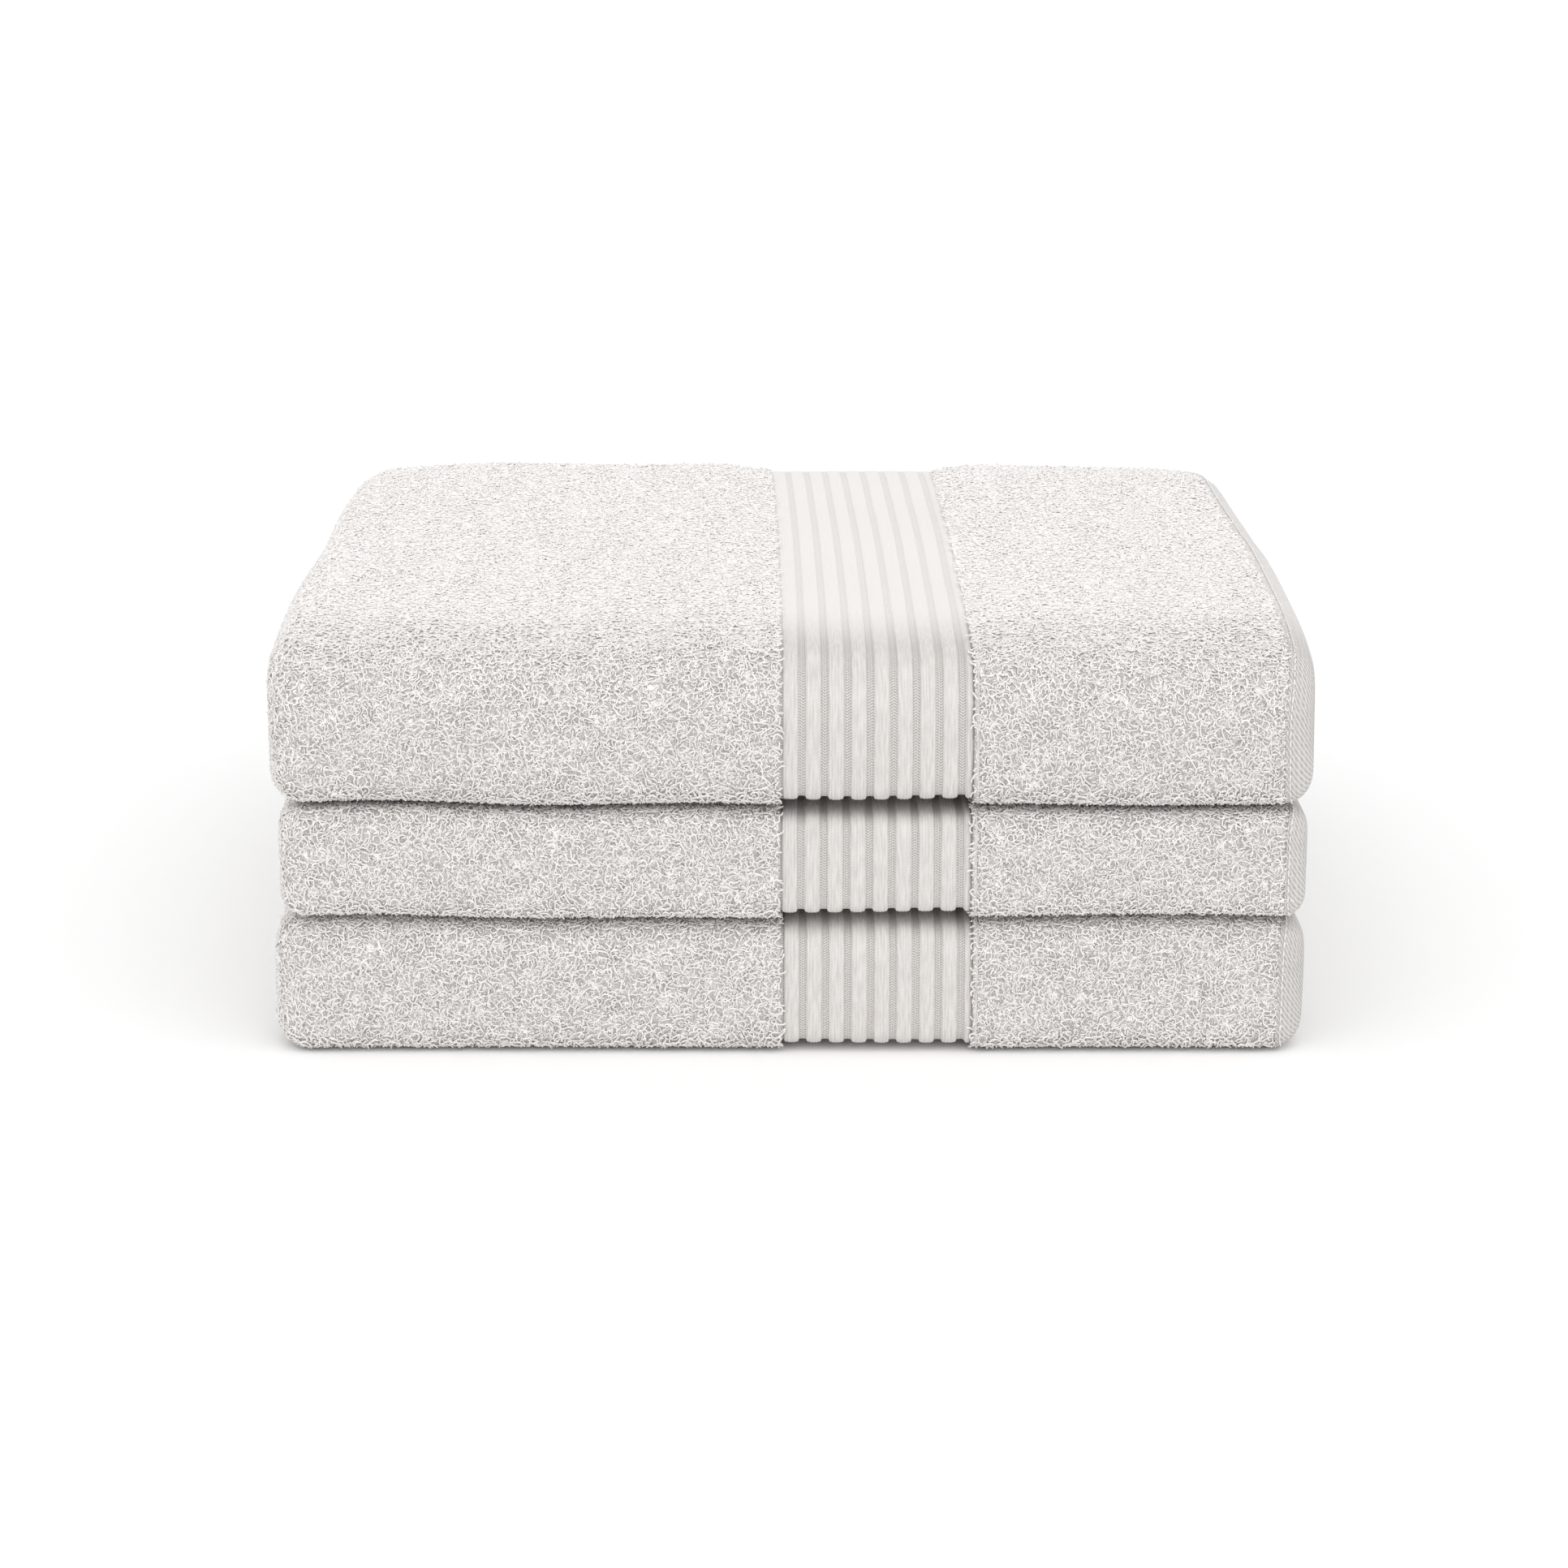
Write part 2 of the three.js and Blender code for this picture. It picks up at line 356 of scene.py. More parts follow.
@dataclass
class LeafPath:
    """The middle line of a towel's cloth across its leaves, from the hemmed end to the far end."""

    layout: Layout
    hem_seam: float = 22.5
    hem_end: float = 88.0
    flat_step: float = 9.0 * MM
    arc_step: float = 10.0
    points: np.ndarray = field(init=False)
    normals: np.ndarray = field(init=False)
    zones: np.ndarray = field(init=False)
    backs: np.ndarray = field(init=False)

    def __post_init__(self) -> None:
        """Walks the path once."""
        self._rows: list[tuple[float, float, float, float, int, float]] = []
        lay, t = self.layout, self.layout.pitch
        left, right = lay.left_centre, lay.right_centre
        top = 3.5 * t
        self._roll(right, 1.5, 90 - self.hem_end, 90 - self.hem_seam, Zone.HEM, 3)
        self._roll(right, 1.5, 90 - self.hem_seam, 90, Zone.END_TERRY, 3)
        self._flat(right, lay.band_right, top, 1, Zone.END_TERRY, 3)
        self._flat(lay.band_right, lay.band_left, top, 1, Zone.BAND, 3)
        self._flat(lay.band_left, left, top, 1, Zone.MAIN_TERRY, 3)
        self._roll(left, 1.5, 90, 240, Zone.MAIN_TERRY, 3)
        self._roll(left, 1.5, 240, 270, Zone.CREASE_FACE, 1)
        self._flat(left, right, 0.5 * t, -1, Zone.CREASE_FACE, 0)
        self._arc(right, t, 0.5 * t, -90, 90, Zone.FIRST_FOLD, 0)
        self._flat(right, left, 1.5 * t, 1, Zone.HIDDEN, 1)
        self._roll(left, 0.5, 270, 90, Zone.HIDDEN, 2, inside=True)
        self._flat(left, right, 2.5 * t, -1, Zone.HIDDEN, 2)
        rows = np.array(self._rows)
        self.points, self.normals = rows[:, 0:2], rows[:, 2:4]
        self.zones, self.backs = rows[:, 4].astype(int), self._smoothed(rows[:, 5])

    @staticmethod
    def _smoothed(values: np.ndarray) -> np.ndarray:
        """Evens out the steps between the back edges of neighbouring leaves."""
        kernel = np.ones(7) / 7
        return np.convolve(np.pad(values, 3, mode="edge"), kernel, mode="valid")

    def _add(self, x: float, r: float, nx: float, nr: float, zone: Zone, leaf: int) -> None:
        """Adds one point of the path."""
        self._rows.append((x, r, nx, nr, zone.value, self.layout.backs[leaf]))

    def _flat(self, start: float, end: float, r: float, face: int, zone: Zone, leaf: int) -> None:
        """Adds a flat stretch, closer together near its ends.

        Args:
            start: X of its start.
            end: X of its end.
            r: its distance from the crease plane.
            face: 1 if the face side is outside, or else -1.
            zone: what it is.
            leaf: which leaf it is, from the crease.
        """
        length = abs(end - start)
        edge = 1.2 * MM
        count = max(2, round((length - 2 * edge) / self.flat_step))
        shares = np.linspace(edge / length, 1 - edge / length, count + 1)
        for share in np.concatenate([[0.002], shares, [0.998]]):
            self._add(start + (end - start) * share, r, 0.0, face, zone, leaf)

    def _arc(self, cx: float, cr: float, radius: float, start: float, end: float, zone: Zone,
             leaf: int) -> None:
        """Adds an arc between two angles in degrees, with the face side outside.

        Args:
            cx: X of its centre.
            cr: its centre's distance from the crease plane.
            radius: its radius.
            start: the first angle.
            end: the last angle.
            zone: what it is.
            leaf: which leaf it is, from the crease.
        """
        count = max(2, round(abs(end - start) / self.arc_step))
        for angle in np.radians(np.linspace(start, end, count + 1)):
            c, s = math.cos(angle), math.sin(angle)
            self._add(cx + radius * c, cr + radius * s, c, s, zone, leaf)

    def _roll(self, centre: float, leaves: float, start: float, end: float, zone: Zone,
              leaf: int, inside: bool = False) -> None:
        """Adds a stretch of a rolled edge, some leaves from its centre, between two angles.

        Args:
            centre: X of the roll's centre.
            leaves: the distance from it, in leaves.
            start: the first angle, in degrees.
            end: the last angle.
            zone: what it is.
            leaf: which leaf it is, from the crease.
            inside: whether the face side is inside.
        """
        count = max(2, round(abs(end - start) / self.arc_step))
        sign = -1.0 if inside else 1.0
        angles = np.radians(np.linspace(start, end, count + 1))
        for x, r, nx, nr in self.layout.roll(centre, leaves * self.layout.pitch, angles):
            self._add(x, r, sign * nx, sign * nr, zone, leaf)


# ---------------------------------------------------------------- mesh helpers

def new_object(name: str, data: bpy.types.ID) -> bpy.types.Object:
    """Puts a mesh, lamp or camera into the scene as an object of its own.

    Args:
        name: the object's name.
        data: what it shows.

    Returns:
        The object.
    """
    obj = bpy.data.objects.new(name, data)
    bpy.context.scene.collection.objects.link(obj)
    return obj


def grid_faces(rows: int, columns: int, closed: bool = False) -> np.ndarray:
    """Quads of a grid of rows by columns, which joins round across its columns if closed.

    Args:
        rows: how many rows.
        columns: how many points in each.
        closed: whether each row is a ring.

    Returns:
        The quads, as rows of four numbers of points.
    """
    last = columns if closed else columns - 1
    i, j = np.meshgrid(np.arange(rows - 1), np.arange(last), indexing="ij")
    k = (j + 1) % columns
    quads = [i * columns + j, i * columns + k, (i + 1) * columns + k, (i + 1) * columns + j]
    return np.stack(quads, axis=-1).reshape(-1, 4)


def build_mesh(name: str, points: np.ndarray, quads: np.ndarray) -> bpy.types.Mesh:
    """Makes a smooth-shaded mesh from points and quads.

    Args:
        name: the mesh's name.
        points: rows of X, Y and Z.
        quads: rows of numbers of points.

    Returns:
        The mesh.
    """
    mesh = bpy.data.meshes.new(name)
    mesh.vertices.add(len(points))
    mesh.vertices.foreach_set("co", points.astype(np.float32).ravel())
    mesh.loops.add(quads.size)
    mesh.loops.foreach_set("vertex_index", quads.astype(np.int32).ravel())
    mesh.polygons.add(len(quads))
    width = quads.shape[1]
    mesh.polygons.foreach_set("loop_start", np.arange(len(quads), dtype=np.int32) * width)
    mesh.update(calc_edges=True)
    mesh.polygons.foreach_set("use_smooth", np.ones(len(mesh.polygons), bool))
    mesh.validate()
    return mesh


def face_outwards(mesh: bpy.types.Mesh, crisp: float = 50.0) -> None:
    """Turns a closed mesh's faces outwards and keeps its sharp corners crisp.

    Args:
        mesh: the mesh, which is changed.
        crisp: the least angle of a sharp corner, in degrees.
    """
    bm = bmesh.new()
    bm.from_mesh(mesh)
    bmesh.ops.dissolve_degenerate(bm, dist=1e-7, edges=bm.edges)
    bmesh.ops.recalc_face_normals(bm, faces=bm.faces)
    for edge in bm.edges:
        if len(edge.link_faces) == 2 and edge.calc_face_angle(0) > math.radians(crisp):
            edge.smooth = False
    bm.to_mesh(mesh)
    bm.free()


def raised(points: np.ndarray, normals: np.ndarray, lift: Any) -> tuple[np.ndarray, np.ndarray]:
    """Moves path points along their normals, and gives X and R as two grids."""
    moved = [points[None, :, k] + normals[None, :, k] * lift for k in (0, 1)]
    return moved[0], moved[1]


def thread_mesh(name: str, rings: np.ndarray) -> bpy.types.Mesh:
    """A smooth, closed thread from rings of points, as rings by sides by 3.

    Args:
        name: the mesh's name.
        rings: the points.

    Returns:
        The mesh.
    """
    count, sides = rings.shape[:2]
    ends = [list(range(sides)), [count * sides - 1 - k for k in range(sides)]]
    mesh = bpy.data.meshes.new(name)
    faces = grid_faces(count, sides, closed=True).tolist() + ends
    mesh.from_pydata(rings.reshape(-1, 3).tolist(), [], faces)
    face_outwards(mesh, crisp=179.0)
    mesh.polygons.foreach_set("use_smooth", np.ones(len(mesh.polygons), bool))
    return mesh


def set_uv(mesh: bpy.types.Mesh, name: str, uv: np.ndarray) -> None:
    """Gives a mesh a UV map from one pair of numbers for each vertex.

    Args:
        mesh: the mesh, which is changed.
        name: the map's name.
        uv: the pairs.
    """
    layer = mesh.uv_layers.new(name=name)
    corners = np.empty(len(mesh.loops), np.int32)
    mesh.loops.foreach_get("vertex_index", corners)
    layer.data.foreach_set("uv", uv[corners].astype(np.float32).ravel())


def shell(upper: np.ndarray, lower: np.ndarray) -> tuple[np.ndarray, np.ndarray]:
    """Joins two grids of points, one over the other, into one closed skin.

    Args:
        upper: rows by columns of points on the face side.
        lower: the same on the back side.

    Returns:
        The points and the quads.
    """
    rows, columns = upper.shape[:2]
    ring = np.concatenate([upper, lower[:, ::-1]], axis=1)
    quads = [grid_faces(rows, 2 * columns, closed=True)]
    j = np.arange(columns - 1)
    back = 2 * columns - 1 - j
    for base, flip in ((0, False), ((rows - 1) * 2 * columns, True)):
        cap = np.stack([j, back, back - 1, j + 1], axis=-1) + base
        quads.append(cap[:, ::-1] if flip else cap)
    return ring.reshape(-1, 3), np.concatenate(quads)


# ---------------------------------------------------------------- node graphs

class Value:
    """A node's output socket, on which arithmetic adds Math nodes."""

    def __init__(self, graph: "Graph", socket: bpy.types.NodeSocket) -> None:
        """Wraps a socket."""
        self.graph = graph
        self.socket = socket

    def _math(self, operation: str, first: Any, second: Any = 0.0) -> "Value":
        """Adds one Math node."""
        node = self.graph.node("ShaderNodeMath", {"operation": operation}, {0: first, 1: second})
        return self.graph.out(node)

    def __add__(self, other: Any) -> "Value":
        """Adds."""
        return self._math("ADD", self, other)

    __radd__ = __add__

    def __sub__(self, other: Any) -> "Value":
        """Subtracts."""
        return self._math("SUBTRACT", self, other)

    def __rsub__(self, other: Any) -> "Value":
        """Subtracts from a number."""
        return self._math("SUBTRACT", other, self)

    def __mul__(self, other: Any) -> "Value":
        """Multiplies."""
        return self._math("MULTIPLY", self, other)

    __rmul__ = __mul__

    def sine(self) -> "Value":
        """Sine of the value."""
        return self._math("SINE", self)

    def wave(self, length: float) -> "Value":
        """A smooth wave from 0 to 1 that repeats each length."""
        return (self * (2 * math.pi / length)).sine() * 0.5 + 0.5

    def zigzag(self, length: float) -> "Value":
        """A triangle wave from 0 to half of length."""
        return self._math("PINGPONG", self, length / 2)


class Graph:
    """Builds a node tree one node at a time."""

    def __init__(self, tree: bpy.types.NodeTree) -> None:
        """Starts on an empty tree."""
        self.tree = tree

    @staticmethod
    def _pick(sockets: Any, key: Any) -> bpy.types.NodeSocket:
        """Finds a socket by its place, or by its name among those in use.

        Args:
            sockets: a node's inputs or outputs.
            key: the place or the name.

        Returns:
            The socket.
        """
        if isinstance(key, int):
            return sockets[key]
        return next(s for s in sockets if s.name == key and s.enabled)

    def node(self, kind: str, settings: Optional[dict[str, Any]] = None,
             inputs: Optional[dict[Any, Any]] = None) -> bpy.types.Node:
        """Adds a node.

        Args:
            kind: the node's type.
            settings: its settings, which are made first.
            inputs: a number, a colour, a Value or a socket for each input named or numbered.

        Returns:
            The node.
        """
        node = self.tree.nodes.new(kind)
        for key, value in (settings or {}).items():
            setattr(node, key, value)
        for key, value in (inputs or {}).items():
            socket = self._pick(node.inputs, key)
            source = value.socket if isinstance(value, Value) else value
            if isinstance(source, bpy.types.NodeSocket):
                self.tree.links.new(source, socket)
            else:
                socket.default_value = source
        return node

    def out(self, node: bpy.types.Node, key: Any = 0) -> Value:
        """One of a node's outputs."""
        return Value(self, self._pick(node.outputs, key))

    def place(self) -> Value:
        """A point's place on the object."""
        return self.out(self.node("ShaderNodeTexCoord"), "Object")

    def noise(self, place: Value, scale: float, detail: float, distortion: float = 0.0) -> Value:
        """Noise of about 0 to 1."""
        inputs = {"Vector": place, "Scale": scale, "Detail": detail, "Distortion": distortion}
        return self.out(self.node("ShaderNodeTexNoise", None, inputs), "Fac")

    def bump(self, strength: float, distance: float, height: Value) -> Value:
        """A normal tilted by a height."""
        inputs = {"Strength": strength, "Distance": distance, "Height": height}
        return self.out(self.node("ShaderNodeBump", None, inputs), "Normal")

    def ramp(self, value: Any, stops: Sequence[tuple[float, float]]) -> Value:
        """Runs a value through a ramp of grey stops.

        Args:
            value: the value.
            stops: a place and a grey for each stop.

        Returns:
            The grey.
        """
        node = self.node("ShaderNodeValToRGB", None, {"Fac": value})
        elements = node.color_ramp.elements
        while len(elements) < len(stops):
            elements.new(0.5)
        for element, (place, grey) in zip(elements, stops):
            element.position = place
            element.color = (grey, grey, grey, 1)
        return self.out(node)

    def mix(self, factor: Any, first: Any, second: Any) -> Value:
        """Mixes two colours."""
        inputs = {"Factor": factor, "A": first, "B": second}
        return self.out(self.node("ShaderNodeMix", {"data_type": "RGBA"}, inputs), "Result")


def rgb(red: int, green: int, blue: int) -> tuple[float, float, float, float]:
    """A screen colour of 0 to 255 a channel, as the linear colour that nodes take."""
    linear = [((c / 255 + 0.055) / 1.055) ** 2.4 for c in (red, green, blue)]
    return (*linear, 1.0)


# ---------------------------------------------------------------- finishes

@dataclass(frozen=True)
class Finish:
    """A cotton finish. Subclasses add how its surface varies."""

    name: str
    light: tuple[float, float, float, float]
    dark: tuple[float, float, float, float]
    roughness: float = 0.9
    sheen: float = 0.2
    sheen_roughness: float = 0.5
    specular: float = 0.25
    # The next three numbers paint light on the top: the dark is lifted towards the light by up to
    # the first, rising between the two Y places that follow.
    fade: float = 0.75
    fade_from: float = -158.0 * MM
    fade_to: float = -90.0 * MM

    def paleness(self, graph: Graph) -> Value:
        """Painted top light: how far the dark is lifted towards the light at a place, from none at
        the front bend to the finish's set share on top, so the top reads as lit and even.

        Args:
            graph: the material's graph.

        Returns:
            The share, from 0 to 1.
        """
        split = graph.node("ShaderNodeSeparateXYZ", None, {"Vector": graph.place()})
        back = graph.node("ShaderNodeMapRange", {"interpolation_type": "SMOOTHSTEP"}, {
            "Value": graph.out(split, "Y"), "From Min": self.fade_from,
            "From Max": self.fade_to, "To Max": self.fade})
        return graph.out(back)

    def toned(self, graph: Graph, amount: Any) -> Value:
        """Mixes from dark to light, with the dark lifted towards the light on top as painted top
        light.
        """
        dark = graph.mix(self.paleness(graph), self.dark, self.light)
        return graph.mix(amount, dark, self.light)

    def material(self) -> bpy.types.Material:
        """Makes the finish's material from its surface and its numbers."""
        material = bpy.data.materials.new(self.name)
        material.use_nodes = True
        material.node_tree.nodes.clear()
        graph = Graph(material.node_tree)
        colour, normal = self.surface(graph)
        inputs: dict[Any, Any] = {
            "Base Color": colour,
            "Roughness": self.roughness,
            "Sheen Weight": self.sheen,
            "Sheen Roughness": self.sheen_roughness,
            "Specular IOR Level": self.specular,
        }
        if normal is not None:
            inputs["Normal"] = normal
        shader = graph.node("ShaderNodeBsdfPrincipled", None, inputs)
        graph.node("ShaderNodeOutputMaterial", None, {"Surface": graph.out(shader).socket})
        return material

    def surface(self, graph: Graph) -> tuple[Any, Any]:
        """The colour and the normal, which is None on a finish with no relief of its own."""
        raise NotImplementedError


@dataclass(frozen=True)
class PileFinish(Finish):
    """Cotton thread, a little uneven from place to place."""

    drift_scale: float = 420.0

    def surface(self, graph: Graph) -> tuple[Any, Any]:
        """Colour that drifts from loop to loop, lifted towards the light on top as painted top
        light.
        """
        noise = graph.noise(graph.place(), self.drift_scale, 1.0)
        return self.toned(graph, graph.ramp(noise, [(0.35, 0.0), (0.6, 1.0)])), None


@dataclass(frozen=True)
class GroundFinish(Finish):
    """Terry cloth under and between the loops, with curled threads drawn in relief and painted
    shade in the valleys between them.
    """

    curl_scale: float = 330.0
    curl_twist: float = 1.4
    curl_lines: float = 36.0
    relief: float = 0.7 * MM
    strength: float = 0.85

    def surface(self, graph: Graph) -> tuple[Any, Any]:
        """Curled ridges, with painted shade in the valleys between them; painted top light lifts
        that shade on top, where the relief also flattens.

        Args:
            graph: the material's graph.

        Returns:
            The colour and the normal.
        """
        noise = graph.noise(graph.place(), self.curl_scale, 1.0, self.curl_twist)
        # Painted shade: the colour follows the ridges, darker in the valleys between them.
        ridges = (noise * self.curl_lines).sine() * 0.5 + 0.5
        colour = self.toned(graph, ridges)
        height = ridges * (1 - self.paleness(graph))
        return colour, graph.bump(self.strength, self.relief, height)


@dataclass(frozen=True)
class WeaveFinish(Finish):
    """A flat weave drawn on the piece's own map, in metres across and along the cloth.

    Across and along are the repeats, chevron is the width in which the yarns' slant turns back
    or 0, and yarn is the slanted yarns' share against the fibres.
    """

    across: float = 1.04 * MM
    along: float = 0.9 * MM
    slant: float = 1.0
    relief: float = 0.14 * MM
    strength: float = 0.8
    chevron: float = 0.0
    fibre_scale: float = 1300.0
    streak: float = 1.0
    yarn: float = 0.7
    contrast: float = 1.0
    middle: float = 0.5

    def surface(self, graph: Graph) -> tuple[Any, Any]:
        """Slanted yarns, cords and fibres, with painted shade where the yarns and cords dip and a
        random tone from the fibres.

        Args:
            graph: the material's graph.

        Returns:
            The colour and the normal.
        """
        uv = graph.node("ShaderNodeUVMap", {"uv_map": "weave"})
        split = graph.node("ShaderNodeSeparateXYZ", None, {"Vector": graph.out(uv)})
        across, along = graph.out(split, "X"), graph.out(split, "Y")
        lean = across.zigzag(self.chevron) if self.chevron else across
        yarns = (along + lean * self.slant).wave(self.along)
        cords = across.wave(self.across)
        stretched = {"X": across, "Y": along * self.streak}
        place = graph.out(graph.node("ShaderNodeCombineXYZ", None, stretched))
        fibre = graph.ramp(graph.noise(place, self.fibre_scale, 2.0), [(0.32, 0.0), (0.68, 1.0)])
        height = yarns * self.yarn + cords * 0.4 + fibre * 0.6
        # Painted shade: the colour follows the yarns and cords, darker where they dip; the fibres
        # add a random tone.
        rest = 0.8 - 0.6 * self.yarn
        amount = yarns * (0.6 * self.yarn) + cords * 0.2 + fibre * rest
        colour = self.toned(graph, (amount - 0.5) * self.contrast + self.middle)
        return colour, graph.bump(self.strength, self.relief, height)


PILE = PileFinish("cotton_pile", rgb(250, 247, 245), rgb(237, 233, 230), sheen=0.1, fade=0.9)
GROUND = GroundFinish("terry_ground", rgb(251, 248, 246), rgb(202, 197, 193), fade=0.95)
# Ground for cloth under other towels: its valleys get weaker painted shade and no painted top
# light.
COVERED = GroundFinish("covered_ground", rgb(251, 248, 246), rgb(230, 226, 223), fade=0.0,
                       relief=0.15 * MM)
BAND = WeaveFinish("ribbed_band", rgb(235, 232, 229), rgb(192, 187, 184), roughness=0.8,
                   across=1.04 * MM, along=1.9 * MM, slant=0.3, relief=0.13 * MM, streak=0.09,
                   yarn=0.1, contrast=0.55, middle=0.4, fade=0.95)
# The grooves between the ribs take a darker dark than the ribs: painted shade in the recesses, on
# top of a herringbone painted darker where its yarns dip.
GROOVE = WeaveFinish("band_groove", rgb(235, 231, 228), rgb(160, 155, 151), roughness=0.9,
                     across=0.8 * MM, along=1.1 * MM, slant=0.9, relief=0.2 * MM,
                     chevron=2.4 * MM, yarn=1.1, fade=0.95)
HEM = WeaveFinish("twill_hem", rgb(236, 233, 230), rgb(178, 174, 171), across=1.7 * MM,
                  along=2.6 * MM, slant=-2.0, relief=0.5 * MM, yarn=1.0, fade=0.9)
THREAD = PileFinish("sewing_thread", rgb(232, 229, 227), rgb(222, 218, 216))


# ---------------------------------------------------------------- loop pile

@dataclass(frozen=True)
class LoopThreads:
    """The curled shapes that a terry loop can lie in, as small closed threads."""

    name: str
    count: int = 16
    rings: int = 6
    half_width: float = 0.38 * MM
    depth: float = 0.55 * MM
    length: tuple[float, float] = (3.8 * MM, 6.6 * MM)
    height: tuple[float, float] = (0.15 * MM, 0.55 * MM)
    bury: float = 0.45 * MM
    turn: tuple[float, float] = (1.0, 4.4)
    swing: float = 1.5
    seed: int = 11

    def collection(self) -> bpy.types.Collection:
        """Builds the shapes into a collection that isn't in the scene."""
        rng = np.random.default_rng(self.seed)
        shapes = bpy.data.collections.new(self.name)
        for index in range(self.count):
            mesh = self._thread(f"{self.name}_{index:02d}", self._curl(rng))
            shapes.objects.link(bpy.data.objects.new(mesh.name, mesh))
        return shapes

    def _curl(self, rng: np.random.Generator) -> np.ndarray:
        """One curl's middle line, with both ends under the surface.

        Args:
            rng: the source of random numbers.

        Returns:
            The line's points.
        """
        length = rng.uniform(*self.length)
        turn = rng.uniform(*self.turn) * rng.choice([-1.0, 1.0])
        swing = rng.uniform(-self.swing, self.swing)
        share = np.linspace(0, 1, self.rings)
        fine = np.linspace(0, 1, CURL_STEPS)
        heading = turn * (fine - 0.5) + swing * np.sin(2 * math.pi * fine)
        walk = np.cumsum(np.stack([np.cos(heading), np.sin(heading)], axis=1), axis=0)
        walk = (walk - walk.mean(0)) * length / CURL_STEPS
        flat = np.stack([np.interp(share, fine, walk[:, k]) for k in (0, 1)], axis=1)
        lift = rng.uniform(*self.height)
        rise = -self.bury + (lift + self.bury) * np.sin(math.pi * share) ** 0.45
        return np.column_stack([flat, rise])

    def _thread(self, name: str, line: np.ndarray) -> bpy.types.Mesh:
        """A three-sided thread along a line, broad side up, with closed ends.

        Args:
            name: the mesh's name.
            line: the line's points.

        Returns:
            The mesh.
        """
        tangent = np.gradient(line, axis=0)
        tangent /= np.linalg.norm(tangent, axis=1)[:, None]
        side = np.cross(tangent, [0, 0, 1.0])
        side /= np.linalg.norm(side, axis=1)[:, None]
        up = np.cross(side, tangent)
        thick = (np.sin(np.linspace(0.45, math.pi - 0.45, self.rings)) ** 0.4)[:, None]
        wide = side * thick * self.half_width
        corners = [line + wide, line - wide, line - up * thick * self.depth]
        return thread_mesh(name, np.stack(corners, axis=1))


TALL_LOOPS = LoopThreads("tall_loop")
FLAT_LOOPS = LoopThreads("flat_loop", rings=5, length=(3.8 * MM, 6.4 * MM), seed=23,
                         half_width=0.44 * MM, height=(0.0, 0.12 * MM))


# ---------------------------------------------------------------- geometry nodes

@dataclass
class Scatter:
    """A Geometry Nodes tree that copies small shapes onto places and dresses them in one finish."""

    finish: bpy.types.Material

    def open(self, name: str, inputs: dict[str, str]) -> None:
        """Starts the tree.

        Args:
            name: the tree's name.
            inputs: the kind of socket of each input besides Geometry and Finish.
        """
        self.tree = bpy.data.node_groups.new(name, "GeometryNodeTree")
        face = self.tree.interface
        for key, kind in {"Geometry": "Geometry", **inputs, "Finish": "Material"}.items():
            face.new_socket(key, in_out="INPUT", socket_type=f"NodeSocket{kind}")
        face.new_socket("Geometry", in_out="OUTPUT", socket_type="NodeSocketGeometry")
        self.graph = Graph(self.tree)
        self.group = self.graph.node("NodeGroupInput")

    def given(self, key: str) -> Value:
        """One of the tree's inputs."""
        return self.graph.out(self.group, key)

    def random(self, kind: str, low: Any, high: Any) -> Value:
        """A number or vector drawn for each point with the tree's seed.

        Args:
            kind: the type of data.
            low: the least.
            high: the most.

        Returns:
            The draw.
        """
        inputs = {"Min": low, "Max": high, "Seed": self.given("Seed")}
        return self.graph.out(
            self.graph.node("FunctionNodeRandomValue", {"data_type": kind}, inputs), "Value")

    def close(self, **copies: Any) -> None:
        """Ends the tree: copies on points, made real and given their material.

        Args:
            copies: the inputs of Instance on Points, with _ for a space.
        """
        graph = self.graph
        inputs = {key.replace("_", " "): value for key, value in copies.items()}
        made = graph.node("GeometryNodeInstanceOnPoints", None, inputs)
        real = graph.node("GeometryNodeRealizeInstances", None, {"Geometry": graph.out(made)})
        dressed = graph.node("GeometryNodeSetMaterial", None,
                             {"Geometry": graph.out(real), "Material": self.given("Finish")})
        graph.node("NodeGroupOutput", None, {"Geometry": graph.out(dressed)})

    def run(self, name: str, mesh: bpy.types.Mesh, **settings: Any) -> bpy.types.Object:
        """Runs the tree on a mesh.

        Args:
            name: the new piece's name.
            mesh: the surface or the line that is copied onto.
            settings: a value for each named input.

        Returns:
            The copies as one plain mesh.
        """
        source = new_object(name + "_source", mesh)
        modifier = source.modifiers.new("scatter", "NODES")
        modifier.node_group = self.tree
        settings["Finish"] = self.finish
        for socket in self.tree.interface.items_tree:
            if socket.in_out == "INPUT" and socket.name in settings:
                modifier[socket.identifier] = settings[socket.name]
        graph = bpy.context.evaluated_depsgraph_get()
        result = bpy.data.meshes.new_from_object(source.evaluated_get(graph), depsgraph=graph)
        bpy.data.objects.remove(source)
        result.name = name
        return new_object(name, result)


